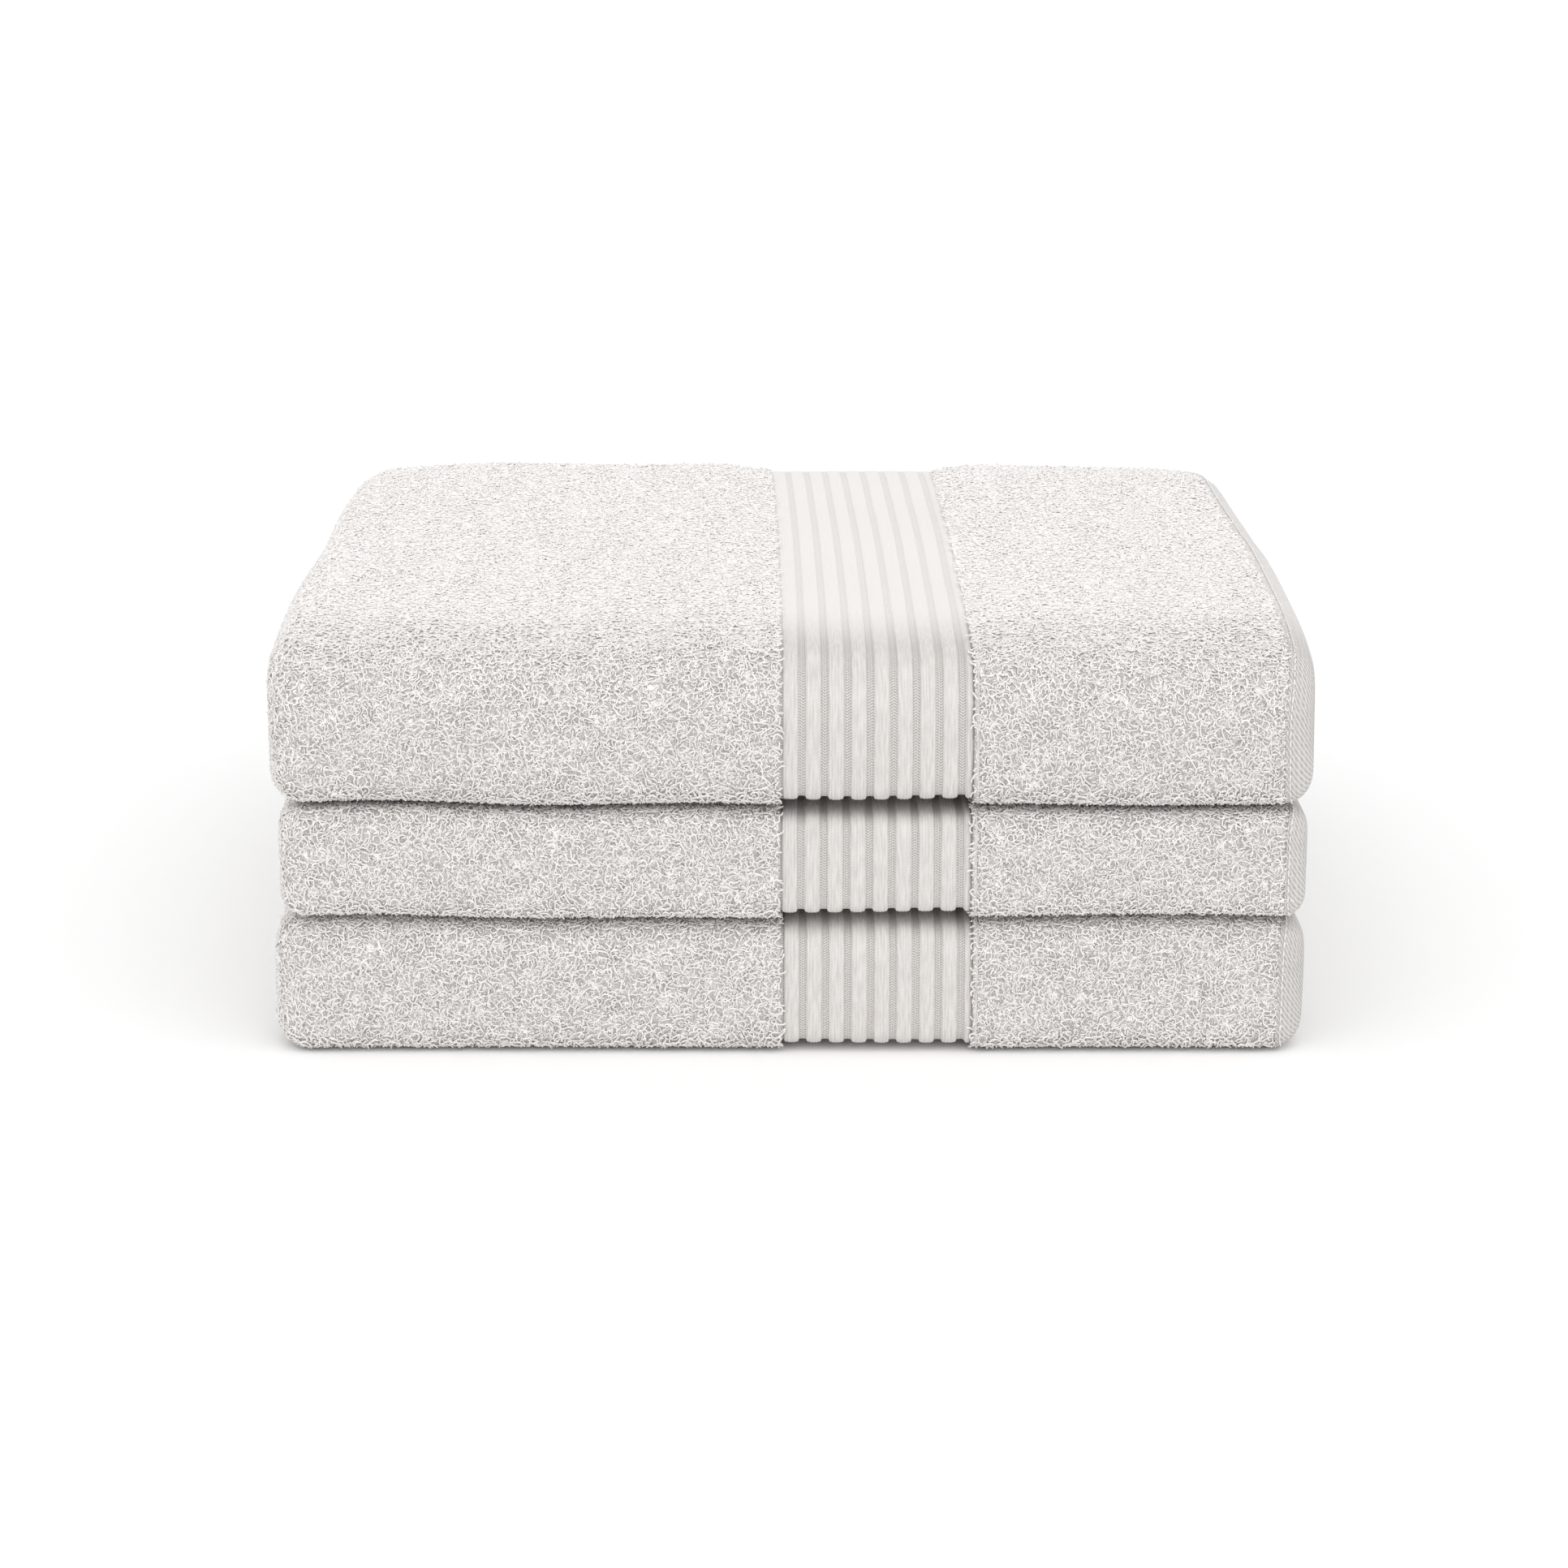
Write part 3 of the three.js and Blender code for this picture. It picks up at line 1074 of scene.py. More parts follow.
@dataclass
class PileMaker(Scatter):
    """Scatters loops over a carrier surface."""

    density: float = 1_400_000.0
    tilt: float = 0.06
    size: tuple[float, float] = (0.82, 1.18)

    def __post_init__(self) -> None:
        """Builds the scattering tree."""
        self.open("scatter_loops", {
            "Threads": "Collection", "Spacing": "Float", "Density": "Float", "Seed": "Int"})
        graph = self.graph
        cover = graph.node("GeometryNodeInputNamedAttribute", {"data_type": "FLOAT"},
                           {"Name": "cover"})
        inputs = {"Mesh": self.given("Geometry"), "Distance Min": self.given("Spacing"),
                  "Density Max": self.given("Density"), "Seed": self.given("Seed"),
                  "Density Factor": graph.out(cover, "Attribute")}
        points = graph.node("GeometryNodeDistributePointsOnFaces",
                            {"distribute_method": "POISSON"}, inputs)
        shapes = graph.node("GeometryNodeCollectionInfo", None, {
            "Collection": self.given("Threads"), "Separate Children": True, "Reset Children": True})
        pick = self.random("INT", 0, 10_000)
        turn = self.random("FLOAT_VECTOR", (-self.tilt, -self.tilt, -math.pi),
                           (self.tilt, self.tilt, math.pi))
        euler = graph.out(graph.node("FunctionNodeEulerToRotation", None, {0: turn}))
        facing = graph.node("FunctionNodeRotateRotation", {"rotation_space": "LOCAL"}, {
            "Rotation": graph.out(points, "Rotation"), "Rotate By": euler})
        self.close(Points=graph.out(points, "Points"), Instance=graph.out(shapes),
                   Pick_Instance=True, Instance_Index=pick, Rotation=graph.out(facing),
                   Scale=self.random("FLOAT", *self.size))

    def scatter(self, name: str, carrier: bpy.types.Mesh, threads: bpy.types.Collection,
                spacing: float, seed: int) -> bpy.types.Object:
        """Covers a carrier surface with loops.

        Args:
            name: the new piece's name.
            carrier: the surface, with a cover attribute from 0 to 1.
            threads: the shapes that loops are picked from.
            spacing: the least distance between two loops' middles.
            seed: the seed of the places and turns.

        Returns:
            The loops as one plain mesh.
        """
        return self.run(name, carrier, Threads=threads, Spacing=spacing, Density=self.density,
                        Seed=seed)


@dataclass
class StitchMaker(Scatter):
    """Lays a row of thread stitches along a path."""

    pitch: float = 2.9 * MM
    length: float = 2.5 * MM
    radius: float = 0.32 * MM
    rings: int = 5
    sides: int = 5

    def __post_init__(self) -> None:
        """Builds the stitch and the tree."""
        self.open("sew_row", {"Stitch": "Object", "Pitch": "Float"})
        graph = self.graph
        curve = graph.node("GeometryNodeMeshToCurve", None, {"Mesh": self.given("Geometry")})
        spaced = graph.node("GeometryNodeResampleCurve", {"mode": "LENGTH"},
                            {"Curve": graph.out(curve), "Length": self.given("Pitch")})
        tangent = graph.out(graph.node("GeometryNodeInputTangent"))
        facing = graph.node("FunctionNodeAlignRotationToVector", {"axis": "X"}, {"Vector": tangent})
        stitch = graph.node("GeometryNodeObjectInfo", None, {"Object": self.given("Stitch")})
        self.close(Points=graph.out(spaced), Instance=graph.out(stitch, "Geometry"),
                   Rotation=graph.out(facing))
        self.stitch = bpy.data.objects.new("stitch", self._stitch_mesh())

    def _stitch_mesh(self) -> bpy.types.Mesh:
        """One stitch: a short thread that dips at both ends."""
        share = np.linspace(-1, 1, self.rings)
        dip = 0.25 * self.radius * (1 - share**4)
        line = np.column_stack([share * self.length / 2, np.zeros(self.rings), dip])
        thick = self.radius * np.sqrt(1 - 0.86 * share**4)
        angles = np.arange(self.sides) * 2 * math.pi / self.sides
        ring = np.stack([np.zeros(self.sides), np.cos(angles), np.sin(angles)], axis=1)
        return thread_mesh("stitch", line[:, None] + ring[None] * thick[:, None, None])

    def sew(self, name: str, points: np.ndarray) -> bpy.types.Object:
        """Sews along a seam's points, and gives the stitches as one plain mesh.

        Args:
            name: the new piece's name.
            points: the seam's points, in order.

        Returns:
            The stitches as one plain mesh.
        """
        mesh = bpy.data.meshes.new("seam")
        mesh.from_pydata(points.tolist(), [(i, i + 1) for i in range(len(points) - 1)], [])
        return self.run(name, mesh, Stitch=self.stitch, Pitch=self.pitch)


# ---------------------------------------------------------------- towel

@dataclass(frozen=True)
class Workshop:
    """What every towel is made with."""

    ground: bpy.types.Material
    covered: bpy.types.Material
    band: bpy.types.Material
    groove: bpy.types.Material
    hem: bpy.types.Material
    tall_loops: bpy.types.Collection
    flat_loops: bpy.types.Collection
    pile: PileMaker
    stitches: StitchMaker

    @classmethod
    def open(cls) -> "Workshop":
        """Makes the materials and the makers."""
        return cls(
            ground=GROUND.material(),
            covered=COVERED.material(),
            band=BAND.material(),
            groove=GROOVE.material(),
            hem=HEM.material(),
            tall_loops=TALL_LOOPS.collection(),
            flat_loops=FLAT_LOOPS.collection(),
            pile=PileMaker(PILE.material()),
            stitches=StitchMaker(THREAD.material()),
        )

    def close(self) -> None:
        """Puts away the shapes that were only copied from."""
        for shapes in (self.tall_loops, self.flat_loops):
            for obj in list(shapes.objects):
                bpy.data.objects.remove(obj)
            bpy.data.collections.remove(shapes)
        bpy.data.objects.remove(self.stitches.stitch)


@dataclass
class Towel:
    """One folded towel: its cloth, pile, ribbed bands, hems and stitches."""

    layout: Layout
    shop: Workshop
    below: Optional[str]
    top_cover: float
    seed: int
    coarse_step: float = 14.0 * MM
    fine_step: float = 8.0 * MM
    back_steps: tuple[float, ...] = (12, 10, 9.2, 8.4, 5, 2, 1.4, 0.8, 0.35, 0.0)
    selvedge_thin: float = 0.3
    pile_room: float = 1.25 * MM
    leaf_clear: float = 0.2 * MM
    least_r: float = 0.3 * MM
    ripple: float = 0.14 * MM
    ripple_waves: tuple[float, float, float, float] = (190.0, 2.1, 7.0, 40.0)
    hem_room: float = 1.1 * MM
    front_spacing: float = 1.38 * MM
    top_spacing: float = 1.85 * MM
    hidden_spacing: float = 2.3 * MM
    selvedge: float = 9.0 * MM
    cover_reach: float = 8.0 * MM
    most_loops: int = 6000
    least_loops: int = 20
    band_sink: float = 2.1 * MM
    band_room: float = 0.8 * MM
    rib_relief: float = 1.05 * MM
    ribs: int = 8
    rib_width: float = 5.2 * MM
    groove_width: float = 2.4 * MM
    groove_dip: float = 0.075 * MM
    first_rib: float = 0.8 * MM
    edge_rib: float = 2.7 * MM
    cords: int = 5
    cord_relief: float = 0.16 * MM
    pat_share: float = 0.62
    pat_reach: float = 60.0 * MM
    hem_bulge: float = 0.35 * MM
    seam_angle: float = 26.0
    path: LeafPath = field(init=False)

    def __post_init__(self) -> None:
        """Walks the leaf path."""
        self.path = LeafPath(self.layout)

    @property
    def half_leaf(self) -> float:
        """Half of a leaf's thickness without its gap."""
        return self.layout.pitch / 2 - self.leaf_clear

    # -- stations along the folded width

    def stations(self, part: Part, coarse: bool = False) -> np.ndarray:
        """Places along a part, from the back of the upper half round to the back of the lower.

        Args:
            part: the part.
            coarse: whether the piece is plain enough for wide steps.

        Returns:
            Angles on the front bend, or else shares of the way from the crease to the back edge.
        """
        if part is Part.FRONT:
            return np.radians(np.linspace(90, -90, 25 if coarse else 49))
        length = self.layout.backs[3] - self.layout.crease[1]
        near = 1 - np.array(self.back_steps) * MM / length
        steps = round(length / (self.coarse_step if coarse else self.fine_step))
        shares = np.concatenate([np.linspace(0, near[0], steps, endpoint=False), near])
        return shares[::-1] if part is Part.UPPER else shares

    def along(self, part: Part, stations: np.ndarray, backs: np.ndarray) -> np.ndarray:
        """The along coordinate for each station and each back edge, as a grid.

        Args:
            part: the part.
            stations: its stations.
            backs: the back edges.

        Returns:
            Y on a half, or angles on the front bend.
        """
        if part is Part.FRONT:
            return np.repeat(stations[:, None], len(backs), axis=1)
        start = self.layout.crease[1]
        return start + stations[:, None] * (backs[None, :] - start)

    def edge_thickness(self, part: Part, along: np.ndarray, backs: np.ndarray) -> np.ndarray:
        """Thins a leaf to its selvedge and rounds its back edge.

        Args:
            part: the part.
            along: the along coordinates.
            backs: the back edges.

        Returns:
            The share of the thickness that is left at each place.
        """
        if part is Part.FRONT:
            return np.ones_like(along)
        distance = (backs[None, :] - along) / MM
        margin = 1 - self.selvedge_thin * ramp(-distance, -10, 1.6)
        rounding = np.sqrt(np.clip(1 - (1 - ramp(distance, 0, 1.5)) ** 2, 0.1, 1))
        return margin * rounding

    def grid(self, part: Part, stations: np.ndarray, x: np.ndarray, r: np.ndarray,
             backs: np.ndarray) -> np.ndarray:
        """Folds and settles a grid of packet points.

        Args:
            part: the part.
            stations: its stations.
            x: X for each station and path point.
            r: distance from the crease plane for each.
            backs: the back edge for each path point.

        Returns:
            The points, as stations by path points by 3.
        """
        return SETTLE(self.layout.place(part, x, r, self.along(part, stations, backs)))

    def v_of(self, part: Part, stations: np.ndarray) -> np.ndarray:
        """Length along the cloth's width for each station, for the weave map.

        Args:
            part: the part.
            stations: its stations.

        Returns:
            The lengths, from 0 at the front bend's top.
        """
        if part is Part.FRONT:
            return np.array([self.layout.outline_length(a) for a in stations])
        length = self.layout.backs[3] - self.layout.crease[1]
        if part is Part.UPPER:
            return -stations * length
        return self.layout.outline_length(-math.pi / 2) + stations * length

    def named(self, part: Part, piece: str) -> str:
        """A piece's name."""
        return f"{self.layout.name}_{part.value}_{piece}"

    def attach(self, obj: bpy.types.Object, part: Part) -> None:
        """Rides a piece on its half, or applies a front-bend piece's transform to its mesh.

        Args:
            obj: the piece.
            part: the part.
        """
        upper = f"{self.layout.name}_upper_half"
        lower = f"{self.layout.name}_lower_half"
        if part is Part.FRONT:
            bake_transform(obj)
        else:
            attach(obj, upper if part is Part.UPPER else lower)
        LOG.info("%s: %d faces", obj.name, len(obj.data.polygons))

    # -- cloth

    def cloth(self, part: Part) -> bpy.types.Object:
        """The terry cloth of one part, through all four leaves.

        Args:
            part: the part.

        Returns:
            The piece.
        """
        path = self.path
        stations = self.stations(part, coarse=True)
        along = self.along(part, stations, path.backs)
        half = self.half_leaf * self.edge_thickness(part, along, path.backs)
        lowered = np.zeros(len(path.points))
        lowered[np.isin(path.zones, [zone.value for zone in PILED])] = self.pile_room
        lowered[path.zones == Zone.BAND.value] = self.band_sink + self.rib_relief + self.band_room
        lowered[path.zones == Zone.HEM.value] = self.hem_room
        a, b, c, d = self.ripple_waves
        phase = path.points[:, 0] * a + path.zones * b + c * path.points[:, 1]
        wave = self.ripple * np.sin(phase)[None, :] * np.sin(d * along + path.zones[None, :])
        skins = []
        for lift in (half - lowered, -half):
            x, r = raised(path.points, path.normals, lift)
            r = np.maximum(r + wave, self.least_r)
            skins.append(self.grid(part, stations, x, r, path.backs))
        mesh = build_mesh(self.named(part, "cloth"), *shell(*skins))
        face_outwards(mesh)
        obj = new_object(mesh.name, mesh)
        shown = part is Part.FRONT or self.top_cover
        mesh.materials.append(self.shop.ground if shown else self.shop.covered)
        zones = ["main_terry", "end_terry"]
        zones += ["core"] if part is Part.FRONT else ["far_terry", "far_hem", "inner_quarters"]
        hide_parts(*(self.named(part, zone) for zone in zones))
        self.attach(obj, part)
        return obj

    # -- pile

    def spacing(self, part: Part) -> float:
        """The least distance between loops, closest where the cloth faces the front.

        Args:
            part: the part.

        Returns:
            The distance.
        """
        if part is Part.FRONT:
            return self.front_spacing
        shown = part is Part.UPPER and self.top_cover
        return self.top_spacing if shown else self.hidden_spacing

    def carrier(self, part: Part, zone: Zone) -> tuple[np.ndarray, np.ndarray]:
        """A run of the cloth's face side for loops to stand on.

        Args:
            part: the part.
            zone: one zone of the leaf path.

        Returns:
            The grid of points, and how much of each is covered with loops.
        """
        path = self.path
        keep = path.zones == zone.value
        points, normals, backs = path.points[keep], path.normals[keep], path.backs[keep]
        stations = self.stations(part)
        along = self.along(part, stations, backs)
        half = self.half_leaf * self.edge_thickness(part, along, backs)
        x, r = raised(points, normals, half - self.pile_room + 0.15 * MM)
        cover = np.ones_like(along)
        if part is not Part.FRONT:
            cover[(backs[None, :] - along) < self.selvedge] = 0.0
            outside = (normals[None, :, 1] > 0.85) & (points[None, :, 1] > 3 * self.layout.pitch)
            deep = along - self.layout.crease[1] > self.cover_reach
            cover[outside & deep] *= self.top_cover if part is Part.UPPER else 0.0
        return self.grid(part, stations, x, np.maximum(r, 0.1 * MM), backs), cover

    def pile(self, part: Part) -> list[bpy.types.Object]:
        """The loops of one part, in pieces of a modest size.

        Args:
            part: the part.

        Returns:
            The pieces.
        """
        carriers = [c for zone in PILED for c in self._chunks(part, *self.carrier(part, zone))]
        made = []
        groups = self._grouped(carriers)
        for index, group in enumerate(groups, start=1):
            mesh = self._carrier_mesh(group)
            name = self.named(part, "pile" if len(groups) == 1 else f"pile_{index}")
            loops = self.shop.tall_loops if part is Part.FRONT else self.shop.flat_loops
            obj = self.shop.pile.scatter(name, mesh, loops, self.spacing(part), self.seed + index)
            self._map_pile(obj.data)
            self.attach(obj, part)
            made.append(obj)
        return made

    def _loops_on(self, part: Part, points: np.ndarray, cover: np.ndarray) -> float:
        """About how many loops a carrier grid takes.

        Args:
            part: the part.
            points: the grid.
            cover: how much of it is covered.

        Returns:
            The number.
        """
        across = np.linalg.norm(np.diff(points, axis=1), axis=2)[:-1]
        down = np.linalg.norm(np.diff(points, axis=0), axis=2)[:, :-1]
        return float((across * down * cover[:-1, :-1]).sum()) * 0.7 / self.spacing(part) ** 2

    def _chunks(self, part: Part, points: np.ndarray,
                cover: np.ndarray) -> list[tuple[np.ndarray, np.ndarray, float]]:
        """Cuts a carrier grid into bands that each take few enough loops.

        Args:
            part: the part.
            points: the grid.
            cover: how much of it is covered.

        Returns:
            Each band's grid, cover and number of loops.
        """
        total = self._loops_on(part, points, cover)
        count = max(1, math.ceil(total / self.most_loops))
        ends = np.linspace(0, len(points) - 1, count + 1).round().astype(int)
        if count > 1:
            weights = np.cumsum([self._loops_on(part, points[i:i + 2], cover[i:i + 2])
                                 for i in range(len(points) - 1)])
            inner = np.searchsorted(weights, total * np.arange(1, count) / count)
            ends[1:-1] = inner + 1
        cuts = [(points[a:b + 1], cover[a:b + 1]) for a, b in zip(ends[:-1], ends[1:])]
        return [(p, c, self._loops_on(part, p, c)) for p, c in cuts]

    def _grouped(self, carriers: list[tuple[np.ndarray, np.ndarray, float]]) -> list[list[Any]]:
        """Gathers small carriers into groups.

        Args:
            carriers: each one's grid, cover and number of loops.

        Returns:
            The groups, each small enough for one piece.
        """
        groups: list[list[Any]] = []
        loads: list[float] = []
        for carrier in sorted(carriers, key=lambda c: -c[2]):
            if carrier[2] < self.least_loops:
                continue
            room = (i for i, load in enumerate(loads) if load + carrier[2] < self.most_loops)
            spot = next(room, len(groups))
            if spot == len(groups):
                groups.append([])
                loads.append(0.0)
            groups[spot].append(carrier)
            loads[spot] += carrier[2]
        return groups

    @staticmethod
    def _carrier_mesh(group: list[Any]) -> bpy.types.Mesh:
        """Joins carrier grids into one mesh with its cover attribute.

        Args:
            group: each carrier's grid, cover and number of loops.

        Returns:
            The mesh.
        """
        points, quads, covers, base = [], [], [], 0
        for grid, cover, _ in group:
            rows, columns = grid.shape[:2]
            points.append(grid.reshape(-1, 3))
            quads.append(grid_faces(rows, columns)[:, ::-1] + base)
            covers.append(cover.ravel())
            base += rows * columns
        mesh = build_mesh("carrier", np.concatenate(points), np.concatenate(quads))
        attribute = mesh.attributes.new("cover", "FLOAT", "POINT")
        attribute.data.foreach_set("value", np.concatenate(covers).astype(np.float32))
        return mesh

    def _map_pile(self, mesh: bpy.types.Mesh) -> None:
        """Maps the loops by where they stand, so that one colour falls on one loop.

        Args:
            mesh: the loops, which are changed.
        """
        co = np.empty(len(mesh.vertices) * 3, np.float32)
        mesh.vertices.foreach_get("co", co)
        co = co.reshape(-1, 3)
        low, high = co.min(0), co.max(0)
        across = (co[:, 0] - low[0]) / (high[0] - low[0])
        depth = co[:, 1] - low[1] + (high[2] - co[:, 2])
        down = (depth - depth.min()) / max(float(np.ptp(depth)), 1e-6)
        set_uv(mesh, "OFBake", np.column_stack([across, down]) * 0.98 + 0.01)

    # -- woven band

    def band_profile(self) -> tuple[np.ndarray, np.ndarray, np.ndarray]:
        """The band's cross-section: places across, heights over the grooves, and which are ribs."""
        lay, pitch = self.layout, self.rib_width + self.groove_width
        rows = [(lay.band_left - 0.8 * MM, 1.6 * MM, 0), (lay.band_left, 0.6 * MM, 0)]
        for k in range(self.ribs):
            start = lay.band_left + self.first_rib + k * pitch
            rows += self._rib(start, self.rib_width, self.cords)
        rows += self._rib(lay.band_right - self.edge_rib, self.edge_rib - 0.2 * MM, 1)
        rows.append((lay.band_right + 0.2 * MM, 1.4 * MM, 1))
        rows.append((lay.band_right + 1.6 * MM, 2.6 * MM, 1))
        table = np.array(rows)
        return table[:, 0], table[:, 1], table[:, 2].astype(int)

    def _rib(self, start: float, width: float, cords: int) -> list[tuple[float, float, int]]:
        """One rib's cross-section, rounded and drawn into cords.

        Args:
            start: X of its left side.
            width: its width.
            cords: how many cords it has.

        Returns:
            Rows of a place across, a height, and 1 on the rib or 0.
        """
        rows = [(start - 0.05 * MM, 0.0, 0)]
        for share in np.linspace(0, 1, cords * 4 + 1):
            crown = (1 - abs(2 * share - 1) ** 3.2) ** 0.55
            cord = self.cord_relief * (abs(math.sin(math.pi * cords * share)) ** 0.7 - 1)
            rows.append((start + width * share, self.rib_relief * (0.25 + 0.75 * crown) + cord, 1))
        rows.append((start + width + 0.05 * MM, 0.0, 0))
        rows.append((start + width + self.groove_width / 2, -self.groove_dip, 0))
        return rows

    def band(self, part: Part) -> bpy.types.Object:
        """The ribbed woven band of one part.

        Args:
            part: the part.

        Returns:
            The piece.
        """
        lay = self.layout
        across, height, rib = self.band_profile()
        shown = part is Part.FRONT or (part is Part.UPPER and self.top_cover)
        stations = self.stations(part, coarse=not shown)
        backs = np.full(len(across), lay.backs[3] - 0.4 * MM)
        along = self.along(part, stations, backs)
        ground = lay.half - self.band_sink - self.rib_relief
        middle = 3.5 * lay.pitch
        low = self.top_relief(part, along)
        rise = height[None, :] * low + self.rib_relief * (1 - low)
        top = middle + (ground - middle + rise) * self.edge_thickness(part, along, backs)
        under = np.full_like(top, min(middle, ground) - 0.5 * MM)
        x = np.broadcast_to(across[None, :], top.shape)
        skins = [self.grid(part, stations, x, r, backs) for r in (top, under)]
        finishes = [self.shop.groove, self.shop.band]
        obj = self.woven(part, "ribbed_band", skins, across, stations, finishes)
        on_rib = np.tile(np.concatenate([rib, rib[::-1] * 0]), len(stations))
        self._two_finishes(obj.data, on_rib)
        face_outwards(obj.data, CRISP_EDGE)
        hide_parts(self.named(part, "woven_band"))
        self.attach(obj, part)
        return obj

    def woven(self, part: Part, piece: str, skins: list[np.ndarray], across: np.ndarray,
              stations: np.ndarray, finishes: list[bpy.types.Material]) -> bpy.types.Object:
        """Joins two skins into a flat-woven piece with its weave map.

        Args:
            part: the part.
            piece: the piece's name on it.
            skins: the face and the back.
            across: the weave map's place across the cloth for each column.
            stations: the part's stations.
            finishes: its materials.

        Returns:
            The piece.
        """
        mesh = build_mesh(self.named(part, piece), *shell(*skins))
        u = np.tile(np.concatenate([across, across[::-1]]), len(stations))
        v = np.repeat(self.v_of(part, stations), 2 * len(across))
        set_uv(mesh, "weave", np.column_stack([u, v]))
        for finish in finishes:
            mesh.materials.append(finish)
        return new_object(mesh.name, mesh)

    def top_relief(self, part: Part, along: np.ndarray) -> np.ndarray:
        """The share of the ribs' relief that is left where they lie patted flat.

        Args:
            part: the part.
            along: the along coordinates.

        Returns:
            The shares.
        """
        if part is not Part.UPPER:
            return np.ones_like(along)
        return 1 - self.pat_share * ramp(along, self.layout.crease[1], self.pat_reach)

    @staticmethod
    def _two_finishes(mesh: bpy.types.Mesh, flags: np.ndarray) -> None:
        """Gives the faces whose corners are mostly flagged the second material.

        Args:
            mesh: the mesh, which is changed.
            flags: 1 or 0 for each vertex.
        """
        corners = np.empty(len(mesh.loops), np.int32)
        mesh.loops.foreach_get("vertex_index", corners)
        starts = np.empty(len(mesh.polygons), np.int32)
        mesh.polygons.foreach_get("loop_start", starts)
        share = np.add.reduceat(flags[corners], starts)
        mesh.polygons.foreach_set("material_index", (share >= 3).astype(np.int32))

    # -- hem

    def hem_grid(self, part: Part, stations: np.ndarray, degrees: np.ndarray,
                 lift: np.ndarray) -> np.ndarray:
        """Points on the rolled right edge at angles from the roll's top, raised by lift.

        Args:
            part: the part.
            stations: its stations.
            degrees: the angles.
            lift: how far each angle's points are raised.

        Returns:
            The points, as stations by angles by 3.
        """
        lay = self.layout
        x, r, nx, nr = lay.roll(lay.right_centre, 1.5 * lay.pitch, np.radians(90 - degrees)).T
        backs = np.full(len(degrees), lay.backs[3] - 0.2 * MM)
        along = self.along(part, stations, backs)
        reach = lift[None, :] * self.edge_thickness(part, along, backs)
        return self.grid(part, stations, x[None, :] + reach * nx, r[None, :] + reach * nr, backs)

    def hem(self, part: Part) -> bpy.types.Object:
        """The twill hem that rolls over the right side.

        Args:
            part: the part.

        Returns:
            The piece.
        """
        stations = self.stations(part)
        round_it = np.linspace(20.0, 90, HEM_COLUMNS)
        degrees = np.concatenate([[18.0, 18.5], round_it, [91.5, 92.0]])
        full = self.half_leaf - 0.25 * MM
        bulge = np.sin(np.linspace(0, math.pi, HEM_COLUMNS)) * self.hem_bulge
        lift = np.concatenate([[-0.3 * MM, full - 0.5 * MM], full - self.hem_bulge + bulge,
                               [full - 0.9 * MM, -0.2 * MM]])
        under = np.full(len(degrees), 0.1 * MM - self.half_leaf)
        skins = [self.hem_grid(part, stations, degrees, rise) for rise in (lift, under)]
        width = np.radians(degrees) * 2 * self.layout.pitch
        obj = self.woven(part, "twill_hem", skins, width, stations, [self.shop.hem])
        face_outwards(obj.data, CRISP_EDGE)
        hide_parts(self.named(part, "end_hem"))
        self.attach(obj, part)
        return obj

    def seam(self, part: Part) -> bpy.types.Object:
        """The row of stitches along the hem's edge.

        Args:
            part: the part.

        Returns:
            The piece.
        """
        rise = np.array([self.half_leaf - 0.1 * MM])
        line = self.hem_grid(part, self.stations(part), np.array([self.seam_angle]), rise)[:, 0]
        if part is not Part.FRONT:
            line = line[:-4] if part is Part.LOWER else line[4:]
        obj = self.shop.stitches.sew(self.named(part, "hem_stitches"), line)
        self.attach(obj, part)
        return obj

    # -- whole towel

    def build(self) -> None:
        """Makes every piece of the towel."""
        for part in (Part.LOWER, Part.FRONT, Part.UPPER):
            cloth = self.cloth(part)
            extra = [self.band(part), self.hem(part), self.seam(part)] + self.pile(part)
            if part is Part.FRONT:
                length = self.layout.outline_length(-math.pi / 2) / 2
            else:
                length = self.layout.backs[1] - self.layout.crease[1]


# ---------------------------------------------------------------- studio

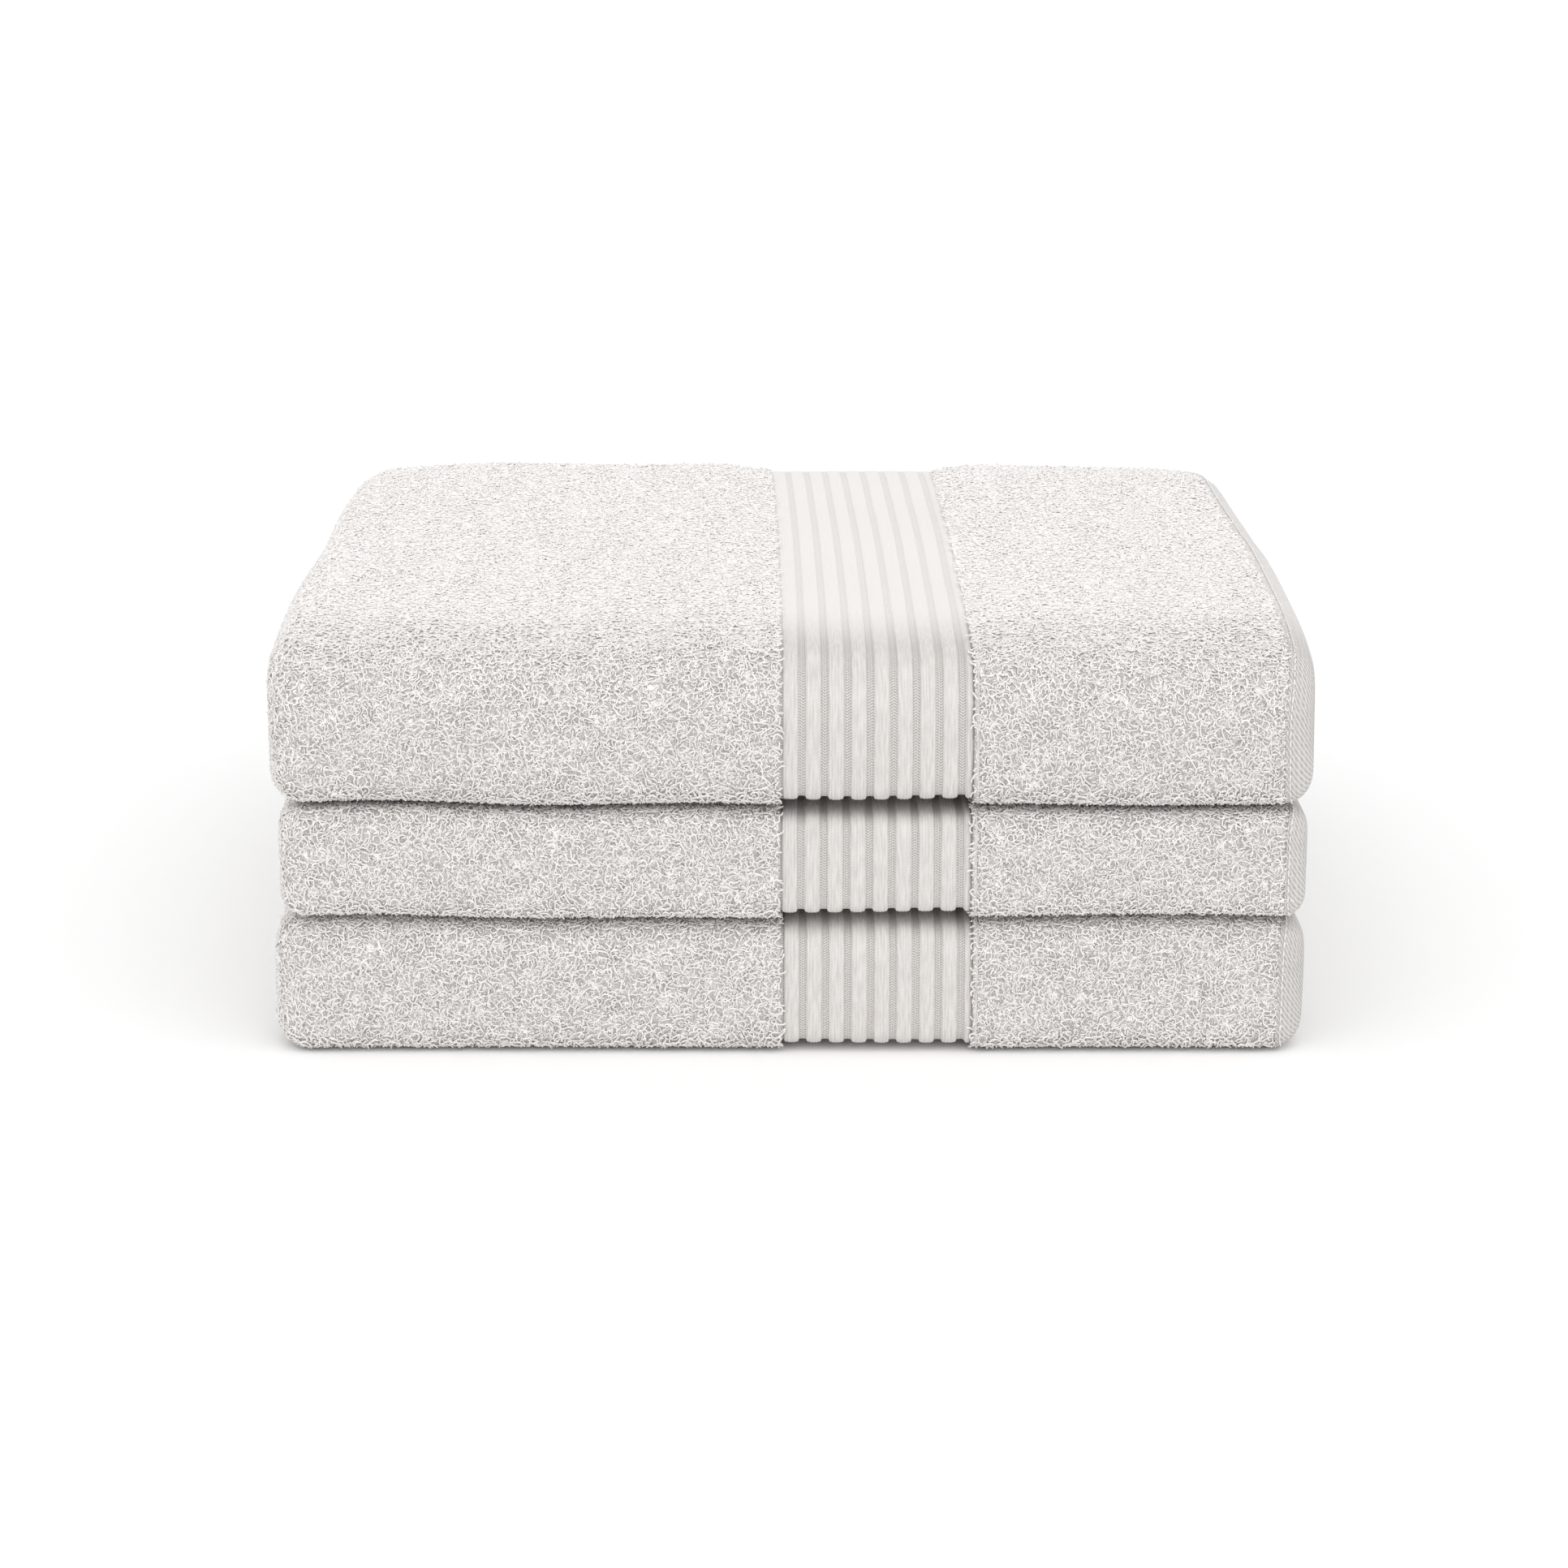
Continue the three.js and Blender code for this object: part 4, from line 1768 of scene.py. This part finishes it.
@dataclass(frozen=True)
class Studio:
    """The floor, the light and the camera."""

    lens: float = 95.1
    sensor: float = 36.0
    distance: float = 1.32
    height: float = 0.4685
    sideways: float = -1.6 * MM
    pitch: float = 15.8
    sky: float = 0.78
    sun: float = 1.4
    sun_width: float = 100.0
    sun_turn: tuple[float, float] = (42.0, 6.0)
    floor_size: float = 30.0
    floor_drop: float = 0.2 * MM
    floor_grey: float = 0.96

    def floor(self) -> None:
        """A plain pale floor."""
        mesh = bpy.data.meshes.new("floor")
        signs = [(-1, -1), (1, -1), (1, 1), (-1, 1)]
        corners = [(a * self.floor_size, b * self.floor_size, -self.floor_drop) for a, b in signs]
        mesh.from_pydata(corners, [], [(0, 1, 2, 3)])
        material = bpy.data.materials.new("pale_floor")
        material.use_nodes = True
        shader = material.node_tree.nodes["Principled BSDF"]
        shader.inputs["Base Color"].default_value = (*[self.floor_grey] * 3, 1)
        shader.inputs["Roughness"].default_value = 1.0
        shader.inputs["Specular IOR Level"].default_value = 0.0
        mesh.materials.append(material)
        new_object("floor", mesh)

    def lights(self) -> None:
        """An even pale sky and one wide soft light from above and in front."""
        world = bpy.data.worlds.new("studio")
        world.use_nodes = True
        background = world.node_tree.nodes["Background"]
        background.inputs["Color"].default_value = (1, 1, 1, 1)
        background.inputs["Strength"].default_value = self.sky
        bpy.context.scene.world = world
        lamp = bpy.data.lights.new("overhead", "SUN")
        lamp.energy = self.sun
        lamp.angle = math.radians(self.sun_width)
        obj = new_object("overhead", lamp)
        obj.rotation_euler = (*(math.radians(turn) for turn in self.sun_turn), 0)

    def camera(self) -> None:
        """The camera, looking down on the stack from the front."""
        data = bpy.data.cameras.new("camera")
        data.lens = self.lens
        data.sensor_width = self.sensor
        data.clip_start = 10 * MM
        obj = new_object("camera", data)
        obj.location = (self.sideways, CAD_BOX[0].y - self.distance, self.height)
        obj.rotation_euler = (math.radians(90 - self.pitch), 0, 0)
        bpy.context.scene.camera = obj

    def build(self) -> None:
        """Makes the studio."""
        self.floor()
        self.lights()
        self.camera()
        bpy.context.scene.view_settings.view_transform = "Standard"


SHAPES = {
    "bottom": Shape(upper=5.2, lower=9.0, side=2.3, trim=1.7 * MM),
    "middle": Shape(upper=5.4, lower=7.5, side=2.5, trim=1.5 * MM),
    "top": Shape(upper=2.3, lower=7.5, side=2.6, trim=0.3 * MM),
}


def main() -> None:
    """Builds the stack and the studio."""
    logging.basicConfig(level=logging.INFO, format="%(name)s %(message)s")
    Studio().build()
    shop = Workshop.open()
    below = None
    for index, (name, shape) in enumerate(SHAPES.items(), start=1):
        layout = Layout.from_frame(name, shape)
        shown = 1.0 if name == "top" else 0.0
        Towel(layout, shop, below, top_cover=shown, seed=100 * index).build()
        below = f"{name}_upper_cloth"
    shop.close()


if __name__ == "__main__":
    main()
